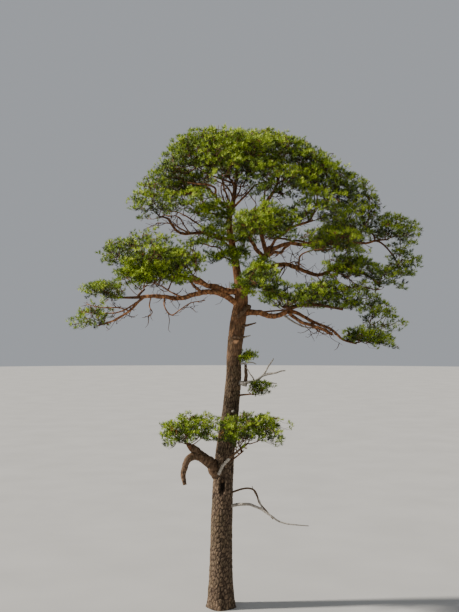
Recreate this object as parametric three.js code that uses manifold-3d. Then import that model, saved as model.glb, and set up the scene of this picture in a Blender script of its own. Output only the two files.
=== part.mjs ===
// An old Scots pine, 16 m tall, on a bare leaning trunk that forks below a broad flat crown.
// Sizes are in metres here and become millimetres where a solid is made. +Z is up, the front of
// the tree faces -Y, and the origin is the middle of the flat cut at ground level.

import * as THREE from 'three';
import { mergeVertices } from 'three/addons/utils/BufferGeometryUtils.js';
import Module from 'manifold-3d';

const wasm = await Module();
wasm.setup();

const MM = 1000;

// Limbs are cut clear of each other by this much, sprays keep this far from what they don't grow
// on, and details smaller than this are smoothed away.
const CLEARANCE = 0.0004;
const LEAST_GAP = 0.002;
const SMALLEST_DETAIL = 0.0001;

// Trunk: height, lean to the right, lean to the back and diameter at each level.
const TRUNK_LEVELS = [
  [0.0, 0.0, 0.0, 0.84],
  [1.3, 0.0, 0.0, 0.77],
  [3.0, 0.03, 0.0, 0.71],
  [4.8, 0.11, 0.0, 0.66],
  [6.5, 0.32, 0.0, 0.57],
  [7.6, 0.42, 0.0, 0.51],
  [8.4, 0.44, 0.0, 0.5],
  [9.4, 0.56, 0.0, 0.53],
  [10.3, 0.68, 0.0, 0.45],
  [11.0, 0.56, 0.02, 0.29],
  [11.6, 0.46, 0.05, 0.25],
  [12.2, 0.35, 0.08, 0.22],
  [12.8, 0.27, 0.1, 0.19],
  [13.4, 0.39, 0.1, 0.16],
  [14.2, 0.5, 0.05, 0.12],
  [15.2, 0.56, 0.0, 0.07],
];
const TRUNK_RINGS = [
  0, 0.12, 0.3, 0.6, 1.1, 2, 3.2, 4.5, 5.6, 6.6, 7.6, 8.6, 9.5, 10.2, 10.7, 11.2, 11.7, 12.2,
  12.7, 13.3, 14.2, 15.2,
];
const TRUNK_SIDES = 12;
const FLARE_SIZE = 0.16;
const FLARE_HEIGHT = 0.35;
const FLARE_LOBES = 4;
const FLARE_LOBE_SIZE = 0.45;
const FLARE_LOBE_TURN = 0.6;

// Broken stubs on the trunk: height, direction from the right towards the back, rise, length
// and radius.
const STUB_SIDES = 6;
const STUBS = [
  [9.3, -0.35, 0.15, 0.36, 0.04],
  [8.8, -0.5, 0.3, 0.34, 0.05],
  [9.6, -1.1, 0.35, 0.46, 0.035],
];

// The dark hollow below the lowest crotch: its middle on the trunk's face and its half sizes.
const HOLLOW = { middle: [0.03, -0.36, 4.08], half: [0.1, 0.13, 0.36] };
const HOLLOW_SIDES = 7;
const HOLLOW_RINGS = 4;

// Boughs. Each starts on the axis of the limb that bears it, at a height on the trunk or at a
// share of the way along a bough, and runs to its tip. bow is how far its middle stands off
// the straight line, wave and ripple are slower and quicker swings up and down, and the two
// radii are those at its foot and at its tip.
const BOUGHS = [
  { name: 'fork_right', on: 'trunk', at: 10.3, tip: [1.68, 0.3, 11.98],
    bow: [-0.02, 0.02, 0.02], wave: 0.03, ripple: 0, radii: [0.15, 0.1] },
  { name: 'bough_right_long', on: 'fork_right', at: 0.93, tip: [3.75, 0.1, 12.16],
    bow: [-0.02, -0.15, 0.08], wave: 0.05, ripple: 0, radii: [0.072, 0.05] },
  { name: 'bough_right_end', on: 'bough_right_long', at: 0.97, tip: [5.2, 0.25, 12.2],
    bow: [0, 0, -0.06], wave: 0.03, ripple: 0, radii: [0.042, 0.036] },
  { name: 'bough_crown_right', on: 'fork_right', at: 0.88, tip: [1.75, 0.0, 13.8],
    bow: [-0.29, 0.11, 0.05], wave: -0.03, ripple: 0, radii: [0.08, 0.05] },
  { name: 'bough_right_up', on: 'fork_right', at: 0.97, tip: [2.85, -0.6, 12.73],
    bow: [-0.14, -0.09, 0.1], wave: 0, ripple: 0, radii: [0.05, 0.04] },
  { name: 'bough_front', on: 'fork_right', at: 0.78, tip: [0.73, -0.85, 12.56],
    bow: [-0.05, 0.04, 0], wave: 0, ripple: 0, radii: [0.075, 0.05] },
  { name: 'bough_back_right', on: 'fork_right', at: 0.82, tip: [2.5, 2.0, 12.35],
    bow: [0, 0, -0.12], wave: 0.04, ripple: 0, radii: [0.06, 0.045] },
  { name: 'bough_right_low', on: 'fork_right', at: 0.6, tip: [3.68, -0.7, 11.2],
    bow: [-0.04, -0.18, -0.05], wave: 0.13, ripple: -0.1, radii: [0.085, 0.052] },
  { name: 'bough_lower_right', on: 'trunk', at: 9.88, tip: [2.25, -0.6, 9.86],
    bow: [0.04, 0, -0.2], wave: 0.05, ripple: -0.03, radii: [0.105, 0.078] },
  { name: 'bough_lower_right_droop', on: 'bough_lower_right', at: 0.96, tip: [3.91, -0.9, 8.9],
    bow: [0.04, -0.02, 0.09], wave: -0.02, ripple: 0.03, radii: [0.062, 0.038] },
  { name: 'bough_left_upper', on: 'trunk', at: 10.35, tip: [-0.75, -0.6, 10.84],
    bow: [-0.02, 0, -0.04], wave: 0.04, ripple: 0, radii: [0.11, 0.075] },
  { name: 'bough_left_upper_end', on: 'bough_left_upper', at: 0.95, tip: [-2.5, -0.7, 11.25],
    bow: [0, 0, -0.1], wave: 0.04, ripple: 0, radii: [0.065, 0.042] },
  { name: 'bough_left_lower', on: 'trunk', at: 9.95, tip: [-2.6, -1.05, 10.24],
    bow: [0.06, -0.08, 0.27], wave: 0.15, ripple: 0.06, radii: [0.11, 0.055] },
  { name: 'bough_left_droop', on: 'bough_left_lower', at: 0.97, tip: [-3.64, -1.1, 9.42],
    bow: [0.06, -0.05, -0.08], wave: 0.02, ripple: 0, radii: [0.042, 0.032] },
  { name: 'bough_left_crown', on: 'trunk', at: 12.2, tip: [-1.76, -0.15, 12.9],
    bow: [-0.08, 0.04, -0.16], wave: 0.17, ripple: -0.07, radii: [0.06, 0.04] },
  { name: 'bough_left_high', on: 'trunk', at: 13.25, tip: [-0.5, -0.1, 13.95],
    bow: [-0.05, 0, 0], wave: -0.03, ripple: 0.03, radii: [0.05, 0.04] },
  { name: 'bough_back_left', on: 'trunk', at: 10.4, tip: [-1.1, 1.8, 10.98],
    bow: [0, 0.1, -0.05], wave: 0.04, ripple: 0, radii: [0.07, 0.045] },
  { name: 'bough_low_left', on: 'trunk', at: 4.12, tip: [-0.98, -0.5, 5.33],
    bow: [-0.02, 0, 0.03], wave: 0, ripple: 0, radii: [0.19, 0.12] },
  { name: 'dead_limb_low_left', on: 'bough_low_left', at: 0.72, tip: [-1.28, -0.75, 4.15],
    bow: [-0.2, -0.1, 0.2], wave: 0, ripple: 0, radii: [0.085, 0.045] },
  { name: 'dead_limb_low_right', on: 'trunk', at: 3.2, tip: [2.86, -0.7, 2.81],
    bow: [-0.04, -0.15, 0.22], wave: 0.18, ripple: 0, radii: [0.065, 0.014] },
  { name: 'dead_limb_lower_right', on: 'bough_lower_right', at: 0.85, tip: [3.4, -0.95, 9.15],
    bow: [-0.07, -0.06, -0.11], wave: -0.02, ripple: 0, radii: [0.035, 0.014] },
  { name: 'dead_snag', on: 'trunk', at: 7.42, tip: [1.74, -0.4, 8.24],
    bow: [0.15, -0.06, -0.26], wave: -0.02, ripple: 0.03, radii: [0.07, 0.018] },
];
const DEAD = /^dead/;
const THICK_BOUGH = 0.075;
const THICK_BOUGH_SIDES = 8;
const BOUGH_SIDES = 6;
const DEAD_BRANCH_SIDES = 5;
const BOUGH_SEED = 101;
const KINK = 0.012;
const COLLAR_SIZE = 0.25;
const COLLAR_LENGTH = 0.12;
const RING_SPACING = 0.42;
const FEWEST_RINGS = 4;
const TAPER_POWER = 0.85;

// Short side branches of the dead limbs: limb, share of the way along it, tip and radius.
const DEAD_BRANCHES = [
  ['dead_limb_low_right', 0.5, [1.03, -0.3, 4.03], 0.03],
  ['dead_snag', 0.72, [2.1, -0.5, 7.88], 0.026],
  ['dead_snag', 0.42, [0.82, -0.2, 7.95], 0.028],
];

// Masses of foliage. Each has the limb that bears it, its middle, its half sizes and how far
// it rises for each metre to the right. Those on the trunk start at a height on it, the others
// at the tip of their bough. A small one has fewer places for sprays.
const MASSES = [
  { name: 'foliage_top_left', on: 'trunk', at: 14.1, middle: [-1.05, -0.1, 15.05],
    half: [1.1, 1.35, 0.86], rise: 0.1 },
  { name: 'foliage_top_front', on: 'trunk', at: 13.5, middle: [0.46, -1.45, 14.62],
    half: [1.15, 1.2, 1.02], rise: 0 },
  { name: 'foliage_top_back', on: 'trunk', at: 14.6, middle: [0.66, 1.45, 15.35],
    half: [1.3, 1.4, 0.86], rise: 0 },
  { name: 'foliage_top_right', on: 'bough_crown_right', middle: [2.1, 0.2, 15.05],
    half: [1.15, 1.4, 0.86], rise: -0.15 },
  { name: 'foliage_right_shoulder', on: 'bough_right_up', middle: [3.4, -0.2, 14.2],
    half: [1.15, 1.4, 0.82], rise: -0.3 },
  { name: 'foliage_right_flank', on: 'bough_right_end', middle: [4.6, 0.4, 13.55],
    half: [0.95, 1.3, 0.76], rise: -0.3 },
  { name: 'foliage_heart_right', on: 'bough_crown_right', middle: [1.95, -1.8, 13.8],
    half: [1.05, 1.15, 0.6], rise: 0 },
  { name: 'foliage_left_shoulder', on: 'bough_left_high', middle: [-1.35, 0.9, 14.15],
    half: [1.05, 1.3, 0.55], rise: 0 },
  { name: 'foliage_left_tip', on: 'bough_left_crown', middle: [-2.35, -0.3, 13.4],
    half: [0.82, 1.05, 0.76], rise: 0 },
  { name: 'foliage_left_inner', on: 'trunk', at: 12.9, middle: [-0.95, -1.4, 13.28],
    half: [0.88, 1.0, 0.44], rise: 0 },
  { name: 'foliage_centre_front', on: 'bough_front', middle: [1.33, -2.1, 12.45],
    half: [1.12, 1.1, 0.62], rise: 0 },
  { name: 'foliage_right_inner', on: 'bough_right_up', middle: [3.05, -1.7, 12.95],
    half: [1.02, 1.15, 0.56], rise: 0 },
  { name: 'foliage_right_mid', on: 'bough_right_long', middle: [4.35, -0.3, 12.68],
    half: [1.05, 1.3, 0.5], rise: 0 },
  { name: 'foliage_right_mid_low', on: 'bough_right_long', middle: [3.6, -1.5, 11.92],
    half: [1.0, 1.05, 0.42], rise: 0 },
  { name: 'foliage_right_tip', on: 'bough_right_end', middle: [5.9, -0.2, 12.48],
    half: [0.88, 1.15, 0.52], rise: 0 },
  { name: 'foliage_right_tip_low', on: 'bough_right_end', middle: [6.25, 0.5, 11.5],
    half: [0.6, 1.0, 0.62], rise: 0 },
  { name: 'foliage_right_low', on: 'bough_right_low', middle: [4.2, -0.9, 11.15],
    half: [1.02, 1.1, 0.46], rise: 0.1 },
  { name: 'foliage_right_low_outer', on: 'bough_right_low', middle: [5.65, -0.2, 10.82],
    half: [0.82, 1.0, 0.46], rise: 0 },
  { name: 'foliage_fork_front', on: 'trunk', at: 10.65, middle: [1.25, -1.7, 10.84],
    half: [0.82, 1.0, 0.56], rise: 0 },
  { name: 'foliage_fork_low', on: 'bough_lower_right', middle: [1.85, -1.4, 10.15],
    half: [0.78, 0.88, 0.38], rise: 0 },
  { name: 'foliage_left_mid_outer', on: 'bough_left_upper_end', middle: [-3.4, -0.4, 11.62],
    half: [0.82, 1.15, 0.56], rise: 0.1, places: 38 },
  { name: 'foliage_left_mid', on: 'bough_left_upper_end', middle: [-2.15, -1.2, 11.75],
    half: [0.95, 1.2, 0.66], rise: 0 },
  { name: 'foliage_left_mid_inner', on: 'bough_left_upper', middle: [-1.05, -1.2, 11.28],
    half: [0.68, 1.0, 0.48], rise: 0 },
  { name: 'foliage_left_low_mid', on: 'bough_left_lower', middle: [-2.5, 0.3, 10.93],
    half: [1.3, 1.05, 0.42], rise: 0 },
  { name: 'foliage_left_low_outer', on: 'bough_left_lower', middle: [-3.8, -1.2, 10.42],
    half: [0.84, 0.9, 0.38], rise: 0 },
  { name: 'foliage_left_droop', on: 'bough_left_droop', middle: [-4.25, -0.9, 9.5],
    half: [0.88, 0.85, 0.5], rise: 0.25 },
  { name: 'foliage_lower_right_inner', on: 'bough_lower_right', middle: [3.1, -1.5, 10.26],
    half: [0.88, 0.98, 0.46], rise: 0 },
  { name: 'foliage_lower_right_mid', on: 'bough_lower_right', middle: [4.45, -0.7, 10.1],
    half: [1.0, 1.05, 0.5], rise: -0.1 },
  { name: 'foliage_lower_right_outer', on: 'bough_lower_right_droop', middle: [5.4, 0.2, 9.5],
    half: [0.82, 0.9, 0.52], rise: -0.2 },
  { name: 'foliage_lower_right_droop', on: 'bough_lower_right_droop', middle: [4.8, -1.1, 8.82],
    half: [1.05, 0.9, 0.44], rise: -0.22 },
  { name: 'foliage_low_left', on: 'bough_low_left', middle: [-1.15, -1.0, 5.89],
    half: [1.0, 1.05, 0.6], rise: 0.1 },
  { name: 'foliage_low_right', on: 'trunk', at: 4.7, middle: [1.08, -1.0, 5.88],
    half: [1.25, 1.05, 0.72], rise: 0 },
  { name: 'foliage_snag', on: 'trunk', at: 6.95, middle: [1.3, -0.45, 7.25],
    half: [0.58, 0.55, 0.3], rise: 0, places: 22 },
  { name: 'foliage_back_left', on: 'bough_back_left', middle: [-2.1, 2.4, 11.6],
    half: [1.2, 1.3, 0.62], rise: 0 },
  { name: 'foliage_back_centre', on: 'bough_back_right', middle: [1.2, 2.6, 12.9],
    half: [1.2, 1.25, 0.64], rise: 0 },
  { name: 'foliage_back_right', on: 'bough_back_right', middle: [4.1, 2.3, 12.4],
    half: [1.25, 1.35, 0.7], rise: 0 },
  { name: 'foliage_back_low', on: 'trunk', at: 9.6, middle: [2.9, 1.9, 10.15],
    half: [1.15, 1.15, 0.4], rise: 0 },
];

// Sprays: each stands for a fan of needle-covered shoots on one twig. A spray's length is a
// share of its mass's half width, and its thickness, the rise and fall of its teeth and the
// distance of its root from its middle are shares of that length. Each tooth or notch has an
// angle from the spray's tip and a distance from its middle.
const SPRAY_SHARE = 1.04;
const LONGEST_SPRAY = 1.3;
const SPRAY_THICKNESS = 0.17;
const TOOTH_RISE = 0.09;
const NOTCH_FALL = 0.054;
const SPRAY_ROOT = 0.46;
const SPRAY_RIM = [[0, 0.62], [0.6, 0.4], [1.3, 0.56], [-1.3, 0.56], [-0.6, 0.4]];
const SPRAY_TRIES = [1, 0.85, 0.7, 0.58];

// Places for sprays: tried evenly over a shell inside a mass's outline, from its top down to a
// floor below its middle. The shell lies inside the outline by shares of a spray's length.
const MASS_SEED = 701;
const PLACES = 40;
const SHELL_INSET = 0.3;
const SHELL_INSET_UP = 0.12;
const SHELL_DEPTH = 0.15;
const SHELL_FLOOR = -0.5;
const SHELL_EVENNESS = 1.15;
const PLACE_JITTER = 0.3;
const FACING_OUT = 0.7;
const FACING_UP = 1.2;
const SPRAY_TURN = 0.8;
const SPRAY_SIZES = [0.88, 0.24];

// The space of a mass ends this far out from its ellipsoid, and short of each wall between it
// and a neighbour.
const SPACE_EDGE = 1.12;
const SPACE_MARGIN = 0.018;

// Stems: how far below its mass's middle a stem aims, where it ends short of that, how far it
// keeps the direction of its bough, and its sizes. Several stems on one tip are slimmer and
// start beside each other.
const STEM_DROP = 0.5;
const STEM_SHORT_BY = 0.45;
const STEM_LEAST_REACH = 0.55;
const STEM_BEND = 0.3;
const STEM_SIDES = 4;
const STEM_CLEARANCE = 0.0014;
const STEM_RADIUS = 0.034;
const STEM_RADIUS_ON_TRUNK = 0.04;
const STEM_TAPER = 0.7;
const STEM_FIT = 0.96;
const SHARED_STEM_FIT = 0.46;
const SHARED_STEM_ASIDE = 0.5;
const STEM_SEAT_GAP = 0.00056;
const STEM_FORKS = [0.5, 0.6, 0.7, 0.8, 0.9, 0.96];

// Twigs: each grows from a fork on the stem or on another twig, slim at its foot inside that
// parent and thicker at the spray it bears. The foot is within its parent for a short way.
const TWIG_FORKS = [0.72, 0.6, 0.48];
const TWIG_RADIUS = 0.013;
const TWIG_TIP_RADIUS = 0.046;
const SHORTEST_TWIG = 0.16;
const TWIG_FREE_FROM = 0.06;
const FORK_TRIES = 4;
const PATH_WEIGHT = 0.4;

const GOLDEN_ANGLE = Math.PI * (3 - Math.sqrt(5));

const vec = (a) => new THREE.Vector3(a[0], a[1], a[2]);

// Seeded random numbers from 0 to 1, the same on every run.
function seeded(seed) {
  let state = seed >>> 0;
  return () => {
    state = (state + 0x6d2b79f5) >>> 0;
    let mixed = Math.imul(state ^ (state >>> 15), state | 1);
    mixed ^= mixed + Math.imul(mixed ^ (mixed >>> 7), mixed | 61);
    return ((mixed ^ (mixed >>> 14)) >>> 0) / 4294967296;
  };
}

// One column of the trunk's levels at a height, on a smooth curve through the levels.
function trunkValue(height, column) {
  const last = TRUNK_LEVELS.length - 1;
  let i = 0;
  while (i < last - 1 && TRUNK_LEVELS[i + 1][0] < height) i += 1;
  const [z0, z1] = [TRUNK_LEVELS[i][0], TRUNK_LEVELS[i + 1][0]];
  const slope = (k) => {
    const below = TRUNK_LEVELS[Math.max(k - 1, 0)];
    const above = TRUNK_LEVELS[Math.min(k + 1, last)];
    return (above[column] - below[column]) / (above[0] - below[0]);
  };
  const t = (height - z0) / (z1 - z0);
  const [a, b] = [TRUNK_LEVELS[i][column], TRUNK_LEVELS[i + 1][column]];
  const [da, db] = [slope(i) * (z1 - z0), slope(i + 1) * (z1 - z0)];
  return a + t * da + t * t * (3 * (b - a) - 2 * da - db) + t * t * t * (2 * (a - b) + da + db);
}

const trunkPoint = (z) => new THREE.Vector3(trunkValue(z, 1), trunkValue(z, 2), z);

// Radius of the trunk in a direction, with the root flare's lobes near the ground.
function trunkRadius(height, angle) {
  const flare = FLARE_SIZE * Math.exp(-height / FLARE_HEIGHT);
  const lobes = 1 + FLARE_LOBE_SIZE * Math.cos(FLARE_LOBES * angle + FLARE_LOBE_TURN);
  return (trunkValue(height, 3) / 2) * (1 + flare * lobes);
}

// The line of a bough: straight from foot to tip, plus its bow, its swings and small kinks.
class BoughCurve extends THREE.Curve {
  constructor(foot, bough, seed) {
    super();
    this.foot = foot;
    this.tip = vec(bough.tip);
    this.bough = bough;
    this.kink = KINK * this.foot.distanceTo(this.tip);
    const random = seeded(seed);
    this.phases = [random(), random(), random()].map((r) => r * 2 * Math.PI);
  }

  getPoint(t, target = new THREE.Vector3()) {
    const { bow, wave, ripple } = this.bough;
    const arch = 4 * t * (1 - t);
    const kink = this.kink * Math.sin(Math.PI * t);
    target.copy(this.foot).lerp(this.tip, t).addScaledVector(vec(bow), arch);
    target.x += kink * Math.sin(15 * t + this.phases[0]);
    target.y += kink * Math.sin(19 * t + this.phases[1]);
    target.z += kink * Math.sin(12 * t + this.phases[2]);
    target.z += wave * Math.sin(2 * Math.PI * t) + ripple * Math.sin(3 * Math.PI * t);
    return target;
  }
}

// A closed solid from its corners and its faces, three corners to a face.
function solidOf(corners, faces) {
  const vertProperties = new Float32Array(corners.length * 3);
  corners.forEach((corner, i) => corner.clone().multiplyScalar(MM).toArray(vertProperties, i * 3));
  const triVerts = new Uint32Array(faces.flat());
  return new wasm.Manifold(new wasm.Mesh({ numProp: 3, vertProperties, triVerts }));
}

// A closed solid from a three.js geometry whose corners are placed by a function.
function solidFrom(geometry, place) {
  geometry.deleteAttribute('normal');
  geometry.deleteAttribute('uv');
  const merged = mergeVertices(geometry, 1e-5);
  const position = merged.getAttribute('position');
  const corners = [];
  for (let i = 0; i < position.count; i += 1) {
    corners.push(place(new THREE.Vector3().fromBufferAttribute(position, i)));
  }
  return solidOf(corners, Array.from(merged.index.array));
}

// The trunk: level rings up its line, each radius made larger by the extra clearance.
function trunkSolid(extra) {
  const last = TRUNK_RINGS.length - 1;
  return solidFrom(new THREE.CylinderGeometry(1, 1, 1, TRUNK_SIDES, last), (p) => {
    const ring = Math.round((p.y + 0.5) * last);
    const height = TRUNK_RINGS[ring];
    const angle = Math.atan2(-p.z, p.x);
    const out = Math.hypot(p.x, p.z) * (trunkRadius(height, angle) + extra);
    const middle = trunkPoint(height);
    return new THREE.Vector3(
      middle.x + out * Math.cos(angle),
      middle.y + out * Math.sin(angle),
      height + (ring === last ? extra : 0),
    );
  });
}

// A round limb along a curve, with its radius given by the share of the way along it. The
// extra clearance makes it thicker, and a little longer at both ends.
function limbSolid(curve, sides, rings, radiusAt, extra = 0) {
  const frames = curve.computeFrenetFrames(rings, false);
  return solidFrom(new THREE.CylinderGeometry(1, 1, 1, sides, rings), (p) => {
    const ring = Math.round((p.y + 0.5) * rings);
    const radius = radiusAt(ring / rings) + extra;
    const longer = Math.min(extra, CLEARANCE);
    const beyond = (ring === rings ? longer : 0) - (ring === 0 ? longer : 0);
    return curve.getPointAt(ring / rings)
      .addScaledVector(frames.tangents[ring], beyond)
      .addScaledVector(frames.normals[ring], p.x * radius)
      .addScaledVector(frames.binormals[ring], -p.z * radius);
  });
}

// A bough's radius: a collar at its foot, then an even taper.
function boughRadius(t, length, radii) {
  const collar = COLLAR_SIZE * radii[0] * Math.exp((-t * length) / COLLAR_LENGTH);
  return radii[0] + (radii[1] - radii[0]) * t ** TAPER_POWER + collar;
}

// A spray on its three-sided twig. The twig runs from its foot to the spray's root, and the
// spray is a flat toothed blade with a raised middle, facing a direction.
function sprayCorners({ foot, point, facing, yaw, length }) {
  const along = point.clone().sub(foot).projectOnPlane(facing);
  along.normalize().applyAxisAngle(facing, yaw);
  const across = new THREE.Vector3().crossVectors(facing, along);
  const at = (angle, share, lift) => point.clone()
    .addScaledVector(along, Math.cos(angle) * share * length)
    .addScaledVector(across, Math.sin(angle) * share * length)
    .addScaledVector(facing, lift * length);
  const [tip, leftNotch, leftTooth, rightTooth, rightNotch] = SPRAY_RIM.map(
    ([angle, share]) => at(angle, share, share < SPRAY_ROOT ? -NOTCH_FALL : TOOTH_RISE),
  );
  const root = at(Math.PI, SPRAY_ROOT, 0);
  const way = root.clone().sub(foot).normalize();
  const side = new THREE.Vector3().crossVectors(facing, way).normalize();
  const over = new THREE.Vector3().crossVectors(way, side);
  const ringOf = (middle, radius) => [
    middle.clone().addScaledVector(side, radius),
    middle.clone().addScaledVector(side, -radius),
    middle.clone().addScaledVector(over, -radius),
  ];
  const [left, right, under] = ringOf(root, TWIG_TIP_RADIUS);
  return [
    tip, leftNotch, leftTooth, left, right, rightTooth, rightNotch, under,
    at(0, 0, SPRAY_THICKNESS), ...ringOf(foot, TWIG_RADIUS),
  ];
}

// The faces of a spray: its rim's seven corners fan to the top and to the root's underside, and
// its twig's sides and foot close the root.
const [RIM, UNDER, TOP, FOOT_LEFT, FOOT_RIGHT, FOOT_UNDER] = [7, 7, 8, 9, 10, 11];
const [ROOT_LEFT, ROOT_RIGHT] = [3, 4];
const SPRAY_FACES = [
  [ROOT_RIGHT, ROOT_LEFT, FOOT_LEFT], [ROOT_RIGHT, FOOT_LEFT, FOOT_RIGHT],
  [ROOT_LEFT, UNDER, FOOT_UNDER], [ROOT_LEFT, FOOT_UNDER, FOOT_LEFT],
  [UNDER, ROOT_RIGHT, FOOT_RIGHT], [UNDER, FOOT_RIGHT, FOOT_UNDER],
  [FOOT_LEFT, FOOT_UNDER, FOOT_RIGHT],
];
for (let i = 0; i < RIM; i += 1) {
  const next = (i + 1) % RIM;
  SPRAY_FACES.push([TOP, i, next]);
  if (i !== ROOT_LEFT) SPRAY_FACES.push([UNDER, next, i]);
}

const boxesMeet = (a, b) => [0, 1, 2].every((k) => a.min[k] <= b.max[k] && b.min[k] <= a.max[k]);

// Whether a solid comes too near any of the obstacles that aren't its own.
function touches(solid, obstacles, own) {
  const box = solid.boundingBox();
  return obstacles.some((other) => other.name !== own && boxesMeet(box, other.box)
    && solid.minGap(other.fat, LEAST_GAP * MM) < LEAST_GAP * MM);
}

// The largest piece of a solid, with the smallest slivers of its surface smoothed away.
function largestPiece(solid) {
  const pieces = solid.simplify(SMALLEST_DETAIL * MM).decompose();
  return pieces.reduce((best, piece) => (piece.volume() > best.volume() ? piece : best));
}

// The solid cut clear of every limb but its own.
function cutClear(solid, own) {
  let clear = solid;
  for (const other of obstacles) {
    if (other.name !== own && touches(clear, [other], own)) clear = clear.subtract(other.fat);
  }
  return largestPiece(clear);
}

const obstacle = (name, fat) => ({ name, fat, box: fat.boundingBox() });

// Trunk with its broken stubs, and the limbs that later pieces keep clear of.
const limbs = new Map();
const obstacles = [obstacle('trunk', trunkSolid(CLEARANCE))];
const solids = new Map();

function buildTrunk() {
  const pieces = [trunkSolid(0)];
  for (const [height, direction, rise, length, radius] of STUBS) {
    const foot = trunkPoint(height);
    const out = new THREE.Vector3(Math.cos(direction), Math.sin(direction), rise);
    const tip = foot.clone().addScaledVector(out.normalize(), length + trunkValue(height, 3) / 2);
    const line = new THREE.LineCurve3(foot, tip);
    const radiusAt = (t) => radius * (1.3 - 0.6 * t);
    pieces.push(limbSolid(line, STUB_SIDES, 2, radiusAt));
    obstacles.push(obstacle('stub', limbSolid(line, STUB_SIDES, 2, radiusAt, CLEARANCE)));
  }
  const hollow = solidFrom(new THREE.SphereGeometry(1, HOLLOW_SIDES, HOLLOW_RINGS), (p) => (
    new THREE.Vector3(p.x, -p.z, p.y).multiply(vec(HOLLOW.half)).add(vec(HOLLOW.middle))
  ));
  solids.set('trunk', largestPiece(wasm.Manifold.union(pieces).subtract(hollow)));
}

function pointOn(name, at) {
  if (name === 'trunk') return trunkPoint(at);
  return limbs.get(name).curve.getPointAt(at);
}

function buildBough(bough, index) {
  const curve = new BoughCurve(pointOn(bough.on, bough.at), bough, BOUGH_SEED + index);
  const length = curve.getLength();
  const rings = Math.max(FEWEST_RINGS, Math.round(length / RING_SPACING));
  const sides = bough.radii[0] > THICK_BOUGH ? THICK_BOUGH_SIDES : BOUGH_SIDES;
  const pieces = [];
  const fats = [];
  const add = (line, n, count, radiusAt) => {
    pieces.push(limbSolid(line, n, count, radiusAt));
    fats.push(limbSolid(line, n, count, radiusAt, CLEARANCE));
  };
  add(curve, sides, rings, (t) => boughRadius(t, length, bough.radii));
  for (const [limb, share, tip, radius] of DEAD_BRANCHES) {
    if (limb === bough.name) {
      const line = new THREE.LineCurve3(curve.getPointAt(share), vec(tip));
      add(line, DEAD_BRANCH_SIDES, 2, (t) => radius * (1 - 0.6 * t));
    }
  }
  limbs.set(bough.name, { curve, radius: bough.radii[1] });
  const solid = wasm.Manifold.union(pieces);
  solids.set(bough.name, cutClear(solid, bough.name));
  obstacles.push(obstacle(bough.name, wasm.Manifold.union(fats)));
}

// The point near the foot of a mass from which its twigs spread.
function crotchOf(mass, start) {
  const low = vec(mass.middle);
  low.z -= STEM_DROP * mass.half[2];
  const reach = low.distanceTo(start);
  const share = Math.max(STEM_LEAST_REACH, 1 - (STEM_SHORT_BY * mass.half[0]) / reach);
  return start.clone().lerp(low, share);
}

// The stem of a mass, from the tip of its bough or from the trunk's axis to its crotch. Where
// masses share a tip, each stem starts on its own side of the tip's end.
function buildStem(mass) {
  const onTrunk = mass.on === 'trunk';
  const sharing = onTrunk ? 1 : MASSES.filter((other) => other.on === mass.on).length;
  const start = onTrunk ? trunkPoint(mass.at) : limbs.get(mass.on).curve.getPointAt(1);
  const crotch = crotchOf(mass, start);
  const way = crotch.clone().sub(start);
  const forward = onTrunk ? way.clone().setZ(STEM_BEND * way.length()).normalize()
    : limbs.get(mass.on).curve.getTangentAt(1);
  const tipRadius = onTrunk ? STEM_RADIUS_ON_TRUNK : limbs.get(mass.on).radius;
  const radius = tipRadius * (sharing > 1 ? SHARED_STEM_FIT : STEM_FIT);
  if (!onTrunk) {
    const aside = way.clone().projectOnPlane(forward).normalize();
    start.addScaledVector(forward, STEM_SEAT_GAP);
    if (sharing > 1) start.addScaledVector(aside, tipRadius * SHARED_STEM_ASIDE);
  }
  const bend = start.clone().addScaledVector(forward, STEM_BEND * way.length());
  const curve = new THREE.QuadraticBezierCurve3(start, bend, crotch);
  const endRadius = Math.max(radius * STEM_TAPER, STEM_RADIUS);
  const radiusAt = (t) => radius + (endRadius - radius) * t;
  const solid = limbSolid(curve, STEM_SIDES, 2, radiusAt);
  const fat = limbSolid(curve, STEM_SIDES, 2, radiusAt, STEM_CLEARANCE);
  const clear = cutClear(solid, mass.name);
  obstacles.push(obstacle(mass.name, fat));
  return { solid: clear, crotch, forks: STEM_FORKS.map((share) => curve.getPointAt(share)) };
}

// Planes between a mass and each neighbour. A mass keeps to its own side of all of them.
function wallsOf(mass) {
  const middle = vec(mass.middle);
  const reach = (half, way) => 1 / Math.hypot(way.x / half[0], way.y / half[1], way.z / half[2]);
  return MASSES.filter((other) => other !== mass).map((other) => {
    const way = vec(other.middle).sub(middle);
    const gap = way.length();
    way.normalize();
    const mine = reach(mass.half, way);
    const theirs = reach(other.half, way);
    return { way, from: middle, limit: (gap * mine) / (mine + theirs) - SPACE_MARGIN };
  });
}

const insideWalls = (point, walls) => walls.every(
  ({ way, from, limit }) => way.dot(point) - way.dot(from) < limit,
);

// Whether a point lies inside a mass's space.
function inSpace(point, mass, walls) {
  const [x, y] = [point.x - mass.middle[0], point.y - mass.middle[1]];
  const z = point.z - mass.middle[2] - mass.rise * x;
  const [a, b, h] = mass.half;
  if (Math.hypot(x / a, y / b, z / h) > SPACE_EDGE) return false;
  return insideWalls(point, walls);
}

// The full length of a mass's sprays.
function sprayLength(mass) {
  return Math.min(LONGEST_SPRAY, SPRAY_SHARE * Math.sqrt(mass.half[0] * mass.half[1]));
}

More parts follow.
